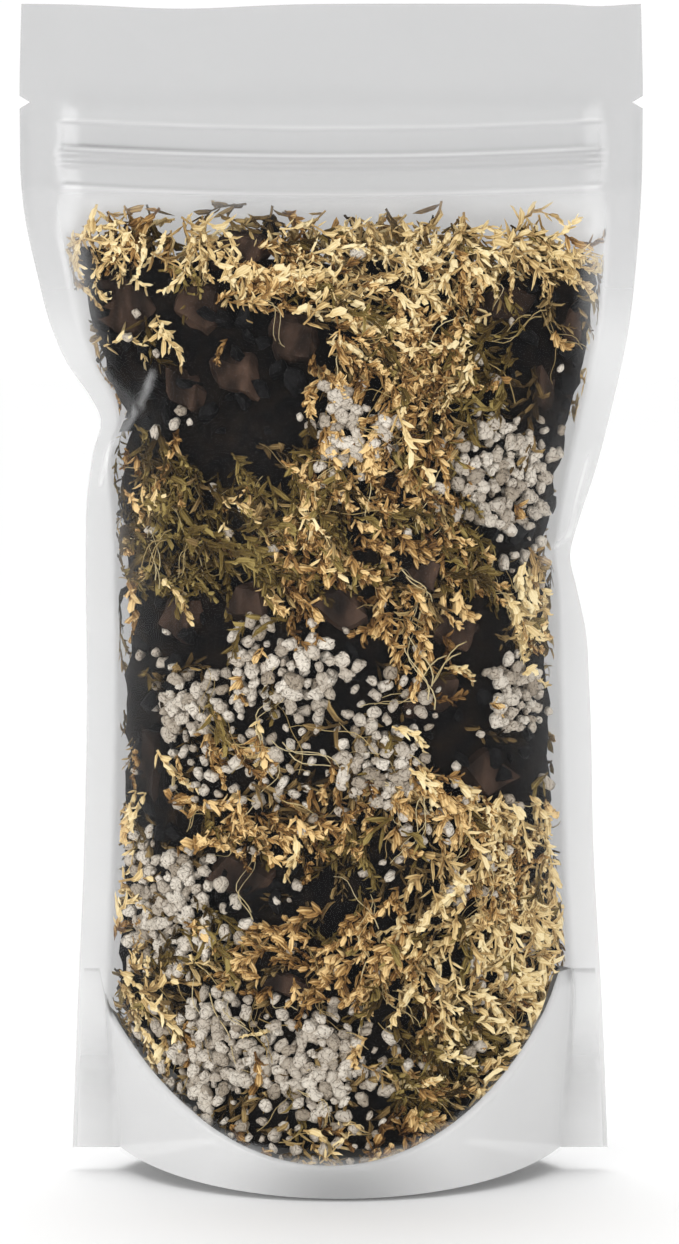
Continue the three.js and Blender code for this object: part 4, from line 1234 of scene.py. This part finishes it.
def node_place(name):
    """A node's patch in millimetres, and the film that it lies against."""
    low, high = [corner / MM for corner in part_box(name)]
    centre = (low + high) / 2
    side = FRONT if low.y + high.y < 0 else BACK
    return (centre.x, centre.z, (high.x - low.x) / 2, (high.z - low.z) / 2), side


def node_patches(prefix, side, grow):
    """Patches where the nodes of one kind lie against one film."""
    patches = []
    for name in nodes_named(prefix):
        (x, z, half_width, half_height), own_side = node_place(name)
        if own_side == side:
            patches.append((x, z, half_width + grow, half_height + grow))
    return patches


def moss_cover(patches_of_colour, share_elsewhere, share_behind, seed, beneath=False):
    """How densely moss of one colour lies at a place; moss beneath the grains isn't thinned by them."""
    def cover(x, z, side):
        taken = 0.95 * inside_patches(x, z, node_patches("bark_chip", side, -1.0), 0.2)
        grains = inside_patches(x, z, node_patches("perlite_cluster", side, -1.5), 0.25)
        if side == FRONT:
            grains = np.maximum(grains, 0.8 * inside_patches(x, z, PERLITE_ZONES, 0.3))
        taken = np.maximum(taken, (0.2 if beneath else 0.86) * grains)
        clumps = 0.25 + 0.75 * smooth_step(0.25, 0.5, uneven(x, z, side, 5.5, seed + 3))
        if side == BACK:
            return np.clip(share_behind * uneven(x, z, side, 16, seed) * clumps * (1 - taken), 0, 1)
        own = np.maximum(
            share_elsewhere * uneven(x, z, side, 16, seed), inside_patches(x, z, patches_of_colour, 0.3)
        )
        tufts = inside_patches(x, z, STRAW_ON_DARK + RUST_ON_DARK, 0.3)
        dark = inside_patches(x, z, DARK_ZONES, 0.25) * (1 - tufts)
        taken = np.maximum(taken, 0.95 * dark)
        return np.clip(own * clumps * (1 - taken), 0, 1)
    return cover


# What a user may change
class PouchFilling(bpy.types.PropertyGroup):
    """How the contents are sized and spaced."""

    leaf_length: bpy.props.FloatProperty(
        name="Leaf length", description="Length of a straw moss leaf", default=3.9 * MM, unit="LENGTH")
    leaf_width: bpy.props.FloatProperty(
        name="Leaf width", description="Width of a straw moss leaf", default=1.6 * MM, unit="LENGTH")
    sprig_length: bpy.props.FloatProperty(
        name="Sprig length", description="Length of a straw moss sprig", default=11 * MM, unit="LENGTH")
    sprig_spacing: bpy.props.FloatProperty(
        name="Sprig spacing", description="Least distance between sprigs", default=2.8 * MM, unit="LENGTH")
    grain_radius: bpy.props.FloatProperty(
        name="Grain radius", description="Radius of a perlite grain", default=1.6 * MM, unit="LENGTH")
    grain_spacing: bpy.props.FloatProperty(
        name="Grain spacing", description="Least distance between grains", default=2.6 * MM, unit="LENGTH")
    chip_roughness: bpy.props.FloatProperty(
        name="Bark roughness", description="How far bark is broken in and out", default=0.55 * MM,
        unit="LENGTH")


class PouchFinish(bpy.types.PropertyGroup):
    """Colours of the stage."""

    floor_colour: bpy.props.FloatVectorProperty(
        name="Floor colour", description="Colour of the pale floor", subtype="COLOR", size=3,
        default=(0.96, 0.96, 0.96), min=0, max=1)
    surround_colour: bpy.props.FloatVectorProperty(
        name="Surround colour", description="Colour of the light all round", subtype="COLOR", size=3,
        default=(1.0, 1.0, 1.0), min=0, max=1)


def filling():
    """The scene's values for the contents."""
    return bpy.context.scene.pouch_filling


# The pieces
class POUCH_OT_films(bpy.types.Operator):
    """Makes the clear front film and the milky back film."""

    bl_idname = "pouch.films"
    bl_label = "Films"

    def execute(self, context):
        front = film_piece("front_film", FRONT)
        finish_piece(front, clear_film_material(), ["front_panel"])
        back = film_piece("back_film", BACK)
        milky = milky_film_material("Milky satin film", alpha=0.6, dull=0.38, bright=0.75)
        finish_piece(back, milky, ["back_panel"])
        return {"FINISHED"}


class POUCH_OT_gusset(bpy.types.Operator):
    """Makes the folded gusset that the pouch stands on."""

    bl_idname = "pouch.gusset"
    bl_label = "Gusset"

    def execute(self, context):
        gusset = gusset_piece("gusset_film")
        milky = milky_film_material("Milky gusset film", alpha=0.91, dull=0.3, bright=0.64)
        finish_piece(gusset, milky, ["bottom_gusset"])
        return {"FINISHED"}


# The two strips' profiles: places in y and height from the zip's line
RIB_PROFILE = [
    (-1.05, -ZIP_HALF_HEIGHT), (-1.0, -0.5), (0.05, -0.42), (0.1, -0.8), (0.3, -0.55), (0.45, 0),
    (0.3, 0.55), (0.1, 0.8), (0.05, 0.42), (-1.0, 0.5), (-1.05, ZIP_HALF_HEIGHT),
]
JAW_PROFILE = [
    (1.05, ZIP_HALF_HEIGHT), (1.0, 1.75), (-0.35, 1.75), (-0.45, 1.55), (-0.45, 1.2), (1.0, 1.2),
    (1.0, -1.2), (-0.45, -1.2), (-0.45, -1.55), (-0.35, -1.75), (1.0, -1.75), (1.05, -ZIP_HALF_HEIGHT),
]


class POUCH_OT_zip(bpy.types.Operator):
    """Makes the two strips of the zip."""

    bl_idname = "pouch.zip"
    bl_label = "Zip"

    def execute(self, context):
        material = zip_material()
        rib = zip_piece("zip_rib_strip", RIB_PROFILE)
        finish_piece(rib, material, ["zip_male"], smooth=False)
        jaws = zip_piece("zip_jaw_strip", JAW_PROFILE)
        finish_piece(jaws, material, ["zip_female"], smooth=False)
        return {"FINISHED"}


CORE_COLUMNS = 56
CORE_DEPTH = 4.8
CORE_HALF_WIDTH = 65.0
CORE_FOOT_Z = 4.0
CORE_HEIGHT = 225.0
CORE_STEP = 2.4
CORE_UNDER_TOP = 8.0
CORE_ABOVE_FLOOR = 6.0
CORE_LUMPS = 1.6


def core_points():
    """The core's points, in rings of both sides from its foot up, with lumps in and out."""
    heights = np.arange(CORE_FOOT_Z, CORE_FOOT_Z + CORE_HEIGHT, CORE_STEP)
    rings = []
    for z in heights:
        for side in BOTH:
            share = side * np.linspace(1, -1, CORE_COLUMNS, endpoint=False)
            depth = CORE_DEPTH * (1 - 0.58 * np.abs(share) ** 4)
            rings.append(under_film(share * CORE_HALF_WIDTH, np.full(CORE_COLUMNS, z), depth, side))
    points = np.concatenate(rings)
    stretch = (top_line(points[:, 0]) - CORE_UNDER_TOP) / CORE_HEIGHT
    points[:, 2] = CORE_FOOT_Z + (points[:, 2] - CORE_FOOT_Z) * stretch
    lumps = np.array([noise.noise(Vector(p / 6.0)) + 0.6 * noise.noise(Vector(p / 2.6)) for p in points])
    outwards = points - np.array([1.5, 0, 0])
    outwards[:, 2] = 0
    outwards /= np.linalg.norm(outwards, axis=1, keepdims=True) + 1e-6
    points += outwards * (CORE_LUMPS * lumps)[:, None]
    points[:, 2] = np.maximum(points[:, 2], gusset_floor(points[:, 0], points[:, 1]) + CORE_ABOVE_FLOOR)
    return points, len(heights)


def core_faces(rows):
    """The core's faces: its wall, its foot and its top."""
    around = 2 * CORE_COLUMNS
    faces = []
    for j in range(rows - 1):
        for i in range(around):
            a, b = j * around + i, j * around + (i + 1) % around
            faces.append((a, b, b + around, a + around))
    top = (rows - 1) * around
    for i in range(CORE_COLUMNS):
        facing, next_facing = (around - i) % around, around - i - 1
        faces.append((i, facing, next_facing, i + 1))
        faces.append((top + i, top + i + 1, top + next_facing, top + facing))
    return faces


class POUCH_OT_core(bpy.types.Operator):
    """Makes the lumpy inside of the mix that shows in the gaps, near black as painted shade."""

    bl_idname = "pouch.core"
    bl_label = "Inside of the mix"

    def execute(self, context):
        points, rows = core_points()
        core = new_object("mix_core", points, core_faces(rows))
        turn_outwards(press_inside(core, margin=2.5))
        finish_piece(core, core_material(), ["moss_bed"])
        return {"FINISHED"}


LONGEST_BARK_EDGE = 1.5 * MM
MOST_BARK_FACES = 3000


def bark_piece(node):
    """A bark chip on its solid's own shape, with its faces broken in and out."""
    chip = bmesh.new()
    chip.from_mesh(frame["nodes"][node].data)
    bmesh.ops.remove_doubles(chip, verts=chip.verts, dist=1e-5)
    bmesh.ops.dissolve_limit(chip, angle_limit=0.02, verts=chip.verts, edges=chip.edges)
    bmesh.ops.triangulate(chip, faces=chip.faces)
    bmesh.ops.recalc_face_normals(chip, faces=chip.faces)
    for _ in range(6):
        long_edges = [e for e in chip.edges if e.calc_length() > LONGEST_BARK_EDGE]
        if not long_edges or len(chip.faces) > MOST_BARK_FACES:
            break
        bmesh.ops.subdivide_edges(chip, edges=long_edges, cuts=1, use_grid_fill=False)
        bmesh.ops.triangulate(chip, faces=chip.faces)
    chip.normal_update()
    rough = filling().chip_roughness
    moved = []
    for vertex in chip.verts:
        place = vertex.co / MM
        fibre = noise.noise(Vector((place.x / 2.4, place.y / 2.4, place.z / 7)))
        chunk = noise.noise(place / 4.5 + Vector((7, 3, 1)))
        moved.append(vertex.co + vertex.normal * rough * (1.1 * fibre + 1.2 * chunk - 0.5))
    for vertex, place in zip(chip.verts, moved):
        vertex.co = place
    return press_inside(object_from(node + "_broken", chip), margin=0.35, ease=0.8)


def crumbs_cover(x, z, side):
    """How densely charcoal crumbs lie at a place."""
    if side == FRONT:
        edges = 0.8 * inside_patches(x, z, EDGE_ZONES, 0.3)
        return np.maximum(edges, 0.35 * inside_patches(x, z, DARK_ZONES, 0.25))
    return 0.6 * smooth_step(0.5, 0.8, uneven(x, z, side, 22, 4.0))


class POUCH_OT_bark(bpy.types.Operator):
    """Makes the bark chips and the charcoal crumbs among them."""

    bl_idname = "pouch.bark"
    bl_label = "Bark and charcoal"

    def execute(self, context):
        material = bark_material()
        for name in nodes_named("bark_chip"):
            finish_piece(bark_piece(name), material, [name], smooth=False)
        crumbs = collect(
            "Crumb variants",
            [shard(f"crumb_{k}", seed=40 + k, radius=2.6, corners=16) for k in range(7)],
        )
        skin = skin_object(
            "charcoal_crumbs", crumbs_cover, 5.2, BOTH, lowest=8, highest=232, reach=MIX_HALF_WIDTH
        )
        scatter(
            skin, crumbs, charcoal_material(), Spacing=3.4 * MM, Density=90000.0,
            Smallest=0.4, Largest=1.5, Tilt=1.5, Rise=1.0 * MM, Seed=21,
        )
        discard(crumbs)
        finish_piece(skin, None, ["moss_bed"], smooth=False)
        return {"FINISHED"}


PERLITE_HALF_WIDTH = 64.0


def under_layer_cover(x, z, side):
    """How densely the deeper layer of perlite lies at a place."""
    return inside_patches(x, z, node_patches("perlite_cluster", side, 2.5), 0.3)


def singles_cover(x, z, side):
    """How densely single grains of perlite lie at a place."""
    low_down = 0.3 + 0.7 * smooth_step(150, 60, z)
    near = 0.5 * inside_patches(x, z, node_patches("perlite_cluster", side, 6.0), 0.3)
    if side == FRONT:
        near = np.maximum(near, inside_patches(x, z, PERLITE_ZONES, 0.3))
    strewn = 0.5 * smooth_step(0.5, 0.75, uneven(x, z, side, 9, 2.0))
    return np.clip(low_down * strewn + near, 0, 1)


class POUCH_OT_perlite(bpy.types.Operator):
    """Makes the perlite: grains in each cluster, and single grains and crumbs all over."""

    bl_idname = "pouch.perlite"
    bl_label = "Perlite"

    def execute(self, context):
        material = perlite_material()
        sizes = filling()
        radius = sizes.grain_radius / MM
        fine = collect(
            "Fine grain variants",
            [knobbly_grain(f"fine_{k}", 60 + k, radius, subdivisions=3) for k in range(6)],
        )
        plain = collect(
            "Plain grain variants",
            [knobbly_grain(f"plain_{k}", 75 + k, radius, subdivisions=2) for k in range(8)],
        )
        for k, name in enumerate(nodes_named("perlite_cluster")):
            (x, z, half_width, half_height), side = node_place(name)
            patches = [(x, z, half_width + 2, half_height + 2)]
            skin = skin_object(
                name + "_grains", lambda x, z, side: inside_patches(x, z, patches, 0.3), 2.7, (side,),
                lowest=z - half_height - 8, highest=z + half_height + 8, reach=PERLITE_HALF_WIDTH,
            )
            scatter(
                skin, fine, material, Spacing=sizes.grain_spacing,
                Smallest=0.62, Largest=1.3, Tilt=1.2, Rise=0.7 * MM, Seed=30 + k,
            )
            finish_piece(skin, None, [name])
        for name, cover, depth, spacing, seed in (
            ("perlite_under_layer", under_layer_cover, 5.0, sizes.grain_spacing * 1.1, 51),
            ("perlite_singles", singles_cover, 3.0, sizes.grain_spacing * 1.2, 52),
        ):
            skin = skin_object(
                name, cover, depth, BOTH, lowest=8, highest=230, reach=PERLITE_HALF_WIDTH
            )
            scatter(
                skin, plain, material, Spacing=spacing,
                Smallest=0.4, Largest=1.15, Tilt=1.2, Rise=0.8 * MM, Seed=seed,
            )
            finish_piece(skin, None, ["moss_bed"])
        discard(fine)
        discard(plain)
        return {"FINISHED"}


# Habits of moss: shares of sprig length, number of leaves, shares of leaf length and width, opening,
# bend and curl
SCALY = (1.15, 19, 0.9, 1.15, 0.46, 2.8, 2.2)
CURLY = (1.35, 14, 1.4, 1.0, 0.65, 4.0, 2.8)
CONE = (0.65, 20, 0.9, 1.3, 0.6, 1.8, 2.6)
SPARSE = (1.2, 12, 1.2, 1.15, 0.7, 3.4, 2.4)


def moss_layers():
    """Each layer's name, habits, cover, colours, slot, nodes, depth and spacing."""
    top = moss_cover(TOP_PATCHES, share_elsewhere=0.0, share_behind=0.0, seed=14.0)
    brown = moss_cover(BROWN_PATCHES, share_elsewhere=0.95, share_behind=0.7, seed=1.0, beneath=True)
    straw = moss_cover(STRAW_PATCHES, share_elsewhere=0.14, share_behind=0.25, seed=11.0)
    olive = moss_cover(OLIVE_PATCHES, share_elsewhere=0.25, share_behind=0.25, seed=12.0)
    rust = moss_cover(RUST_PATCHES, share_elsewhere=0.3, share_behind=0.25, seed=13.0)
    straw_nodes = ["moss_tuft_straw_02", "moss_tuft_straw_04", "moss_tuft_straw_05"]
    olive_nodes = ["moss_tuft_olive_01", "moss_tuft_olive_06"]
    return [
        ("moss_top_sprigs", (SCALY, CURLY), lambda x, z, side: top(x, z, FRONT), STRAW_STOPS,
         "moss_bed", ["moss_bed"], 8.5, 1.3),
        ("moss_brown_sprigs", (SPARSE, CURLY), brown, BROWN_STOPS,
         "moss_bed", ["moss_bed"], 4.8, 1.6),
        ("moss_straw_sprigs", (SCALY, SCALY, CURLY), straw, STRAW_STOPS,
         "moss_straw", straw_nodes, 2.8, 1.0),
        ("moss_olive_sprigs", (CURLY, CURLY, SCALY), olive, OLIVE_STOPS,
         "moss_olive", olive_nodes, 3.0, 1.1),
        ("moss_rust_sprigs", (CONE, SCALY), rust, RUST_STOPS,
         "moss_rust", ["moss_tuft_rust_03"], 2.9, 1.0),
    ]


def sprig_variants(habits, seed):
    """Two sprigs of each habit."""
    sizes = filling()
    return [
        sprig(
            f"sprig_{k}_{twin}", seed + 2 * k + twin, sizes.sprig_length / MM * length, leaves,
            sizes.leaf_length / MM * long, sizes.leaf_width / MM * wide, opening, bend, curl,
        )
        for k, (length, leaves, long, wide, opening, bend, curl) in enumerate(habits)
        for twin in range(2)
    ]


def threads_cover(x, z, side):
    """How densely loose threads lie at a place."""
    dark = inside_patches(x, z, DARK_ZONES, 0.2) if side == FRONT else 0.0
    return uneven(x, z, side, 20, 6.0) * (1 - 0.85 * dark)


class POUCH_OT_moss(bpy.types.Operator):
    """Makes the moss: sprigs of each colour over a deeper layer of brown ones, and loose threads."""

    bl_idname = "pouch.moss"
    bl_label = "Moss"

    def execute(self, context):
        for k, (name, habits, cover, stops, slot, nodes, depth, spacing) in enumerate(moss_layers()):
            sprigs = collect("Sprig variants", sprig_variants(habits, 80 + 10 * k))
            skin = skin_object(name, cover, depth, BOTH, lowest=7, highest=237, reach=65)
            scatter(
                skin, sprigs, moss_material(name.replace("_", " "), stops),
                Spacing=filling().sprig_spacing * spacing, Smallest=0.6, Largest=1.3,
                Tilt=0.35, Swirl=9.0, Looseness=1.2, Rise=1.3 * MM, Seed=60 + k,
            )
            discard(sprigs)
            finish_piece(skin, None, nodes, smooth=False)
        threads = collect("Thread variants", [
            thread_bundle(f"threads_{k}", 70 + k, 10 + 2.5 * k, radius=0.18, bend=2.4, strands=strands)
            for k, strands in enumerate((1, 1, 2, 1, 3, 1))
        ])
        skin = skin_object("moss_threads", threads_cover, 1.9, BOTH, lowest=14, highest=222, reach=58)
        scatter(
            skin, threads, moss_material("Pale threads", PALE_STOPS), Spacing=7.5 * MM,
            Smallest=0.6, Largest=1.2, Tilt=0.15, Rise=0.4 * MM, Seed=71,
        )
        discard(threads)
        finish_piece(skin, None, ["moss_bed"])
        return {"FINISHED"}


# The stage
CAMERA_PLACE = (0.002, -1.020, 0.245)
CAMERA_AIM = (0.002, 0.0, 0.1357)
CAMERA_LENS = 121.76
SENSOR_LONG_SIDE = 36.0
FLOOR_HALF_WIDTH = 4000.0
POUCH_MIDDLE = (0, 0, 0.14)
SURROUND_STRENGTH = 1.04
SURROUND_OVERHEAD = 0.42
SOFT_LIGHT_SIZE = 0.5
OVERHEAD_DIRECTION = (0.03, -0.26, -1)
OVERHEAD_STRENGTH = 1.92
OVERHEAD_SPREAD = math.radians(50)


def look_along(direction):
    """The turn that makes a light or a camera look along a direction."""
    return Vector(direction).to_track_quat("-Z", "Y").to_euler()


def pale_floor(colour):
    """A wide, plain floor."""
    half = FLOOR_HALF_WIDTH
    corners = [(-half, -half, 0), (half, -half, 0), (half, half, 0), (-half, half, 0)]
    floor = new_object("floor", corners, [(0, 1, 2, 3)])
    material, tree, shader = new_material("Pale floor")
    stops = [(0.0, tuple(0.98 * part for part in colour)), (1.0, colour)]
    set_surface(tree, shader, colour_ramp(tree, texture(tree, "Noise", 3, 2), stops), roughness=0.7)
    floor.data.materials.append(material)


def soft_surround(scene, colour):
    """Even light all round that is weaker from above."""
    world = bpy.data.worlds.new("Soft surround")
    scene.world = world
    world.use_nodes = True
    tree = world.node_tree
    background = tree.nodes["Background"]
    direction = add_node(tree, "ShaderNodeTexCoord").outputs["Generated"]
    height = add_node(tree, "ShaderNodeSeparateXYZ", {"Vector": direction}).outputs["Z"]
    overhead = tuple(SURROUND_OVERHEAD * part for part in colour)
    light = colour_ramp(tree, height, [(0.08, colour), (0.42, overhead)])
    tree.links.new(light, background.inputs["Color"])
    background.inputs["Strength"].default_value = SURROUND_STRENGTH


def soft_light(name, place, power):
    """A square soft light that looks at the pouch."""
    data = bpy.data.lights.new(name, "AREA")
    data.shape = "SQUARE"
    data.size = SOFT_LIGHT_SIZE
    data.energy = power
    light = linked_object(name, data)
    light.location = place
    light.rotation_euler = look_along(Vector(POUCH_MIDDLE) - Vector(place))


def overhead_light():
    """A broad light from above, a little from behind."""
    data = bpy.data.lights.new("overhead_light", "SUN")
    data.energy = OVERHEAD_STRENGTH
    data.angle = OVERHEAD_SPREAD
    linked_object("overhead_light", data).rotation_euler = look_along(OVERHEAD_DIRECTION)


def front_camera(scene):
    """The camera in front of the pouch and a little above its middle."""
    data = bpy.data.cameras.new("camera")
    data.lens = CAMERA_LENS
    data.sensor_width = SENSOR_LONG_SIDE
    data.clip_start = 0.01
    camera = linked_object("camera", data)
    camera.location = CAMERA_PLACE
    camera.rotation_euler = look_along(Vector(CAMERA_AIM) - Vector(CAMERA_PLACE))
    scene.camera = camera


class POUCH_OT_stage(bpy.types.Operator):
    """Makes the pale floor, the soft light and the camera."""

    bl_idname = "pouch.stage"
    bl_label = "Stage"

    def execute(self, context):
        scene = context.scene
        scene.view_settings.view_transform = "Standard"
        pale_floor(tuple(scene.pouch_finish.floor_colour))
        soft_surround(scene, tuple(scene.pouch_finish.surround_colour))
        soft_light("key_light", (-0.8, -0.95, 0.24), power=6.6)
        soft_light("fill_light", (0.8, -0.95, 0.24), power=4.2)
        overhead_light()
        front_camera(scene)
        return {"FINISHED"}


class POUCH_PT_panel(bpy.types.Panel):
    """Lists the pouch's pieces in the sidebar."""

    bl_idname = "POUCH_PT_panel"
    bl_label = "Moss Mix Pouch"
    bl_space_type = "VIEW_3D"
    bl_region_type = "UI"
    bl_category = "Pouch"

    def draw(self, context):
        for group in (context.scene.pouch_filling, context.scene.pouch_finish):
            for name in group.__annotations__:
                self.layout.prop(group, name)
        for operator in OPERATORS:
            self.layout.operator(operator.bl_idname)


OPERATORS = (
    POUCH_OT_stage, POUCH_OT_films, POUCH_OT_gusset, POUCH_OT_zip, POUCH_OT_core, POUCH_OT_bark,
    POUCH_OT_perlite, POUCH_OT_moss,
)
CLASSES = (PouchFilling, PouchFinish, *OPERATORS, POUCH_PT_panel)


def register():
    """Registers the classes and the scene's values."""
    for item in CLASSES:
        bpy.utils.register_class(item)
    bpy.types.Scene.pouch_filling = bpy.props.PointerProperty(type=PouchFilling)
    bpy.types.Scene.pouch_finish = bpy.props.PointerProperty(type=PouchFinish)


def unregister():
    """Takes the classes and the scene's values away."""
    del bpy.types.Scene.pouch_finish
    del bpy.types.Scene.pouch_filling
    for item in reversed(CLASSES):
        bpy.utils.unregister_class(item)


def main():
    """Builds every piece."""
    register()
    bpy.ops.pouch.stage()
    bpy.ops.pouch.films()
    bpy.ops.pouch.gusset()
    bpy.ops.pouch.zip()
    bpy.ops.pouch.core()
    bpy.ops.pouch.bark()
    bpy.ops.pouch.perlite()
    bpy.ops.pouch.moss()


if __name__ == "__main__":
    main()
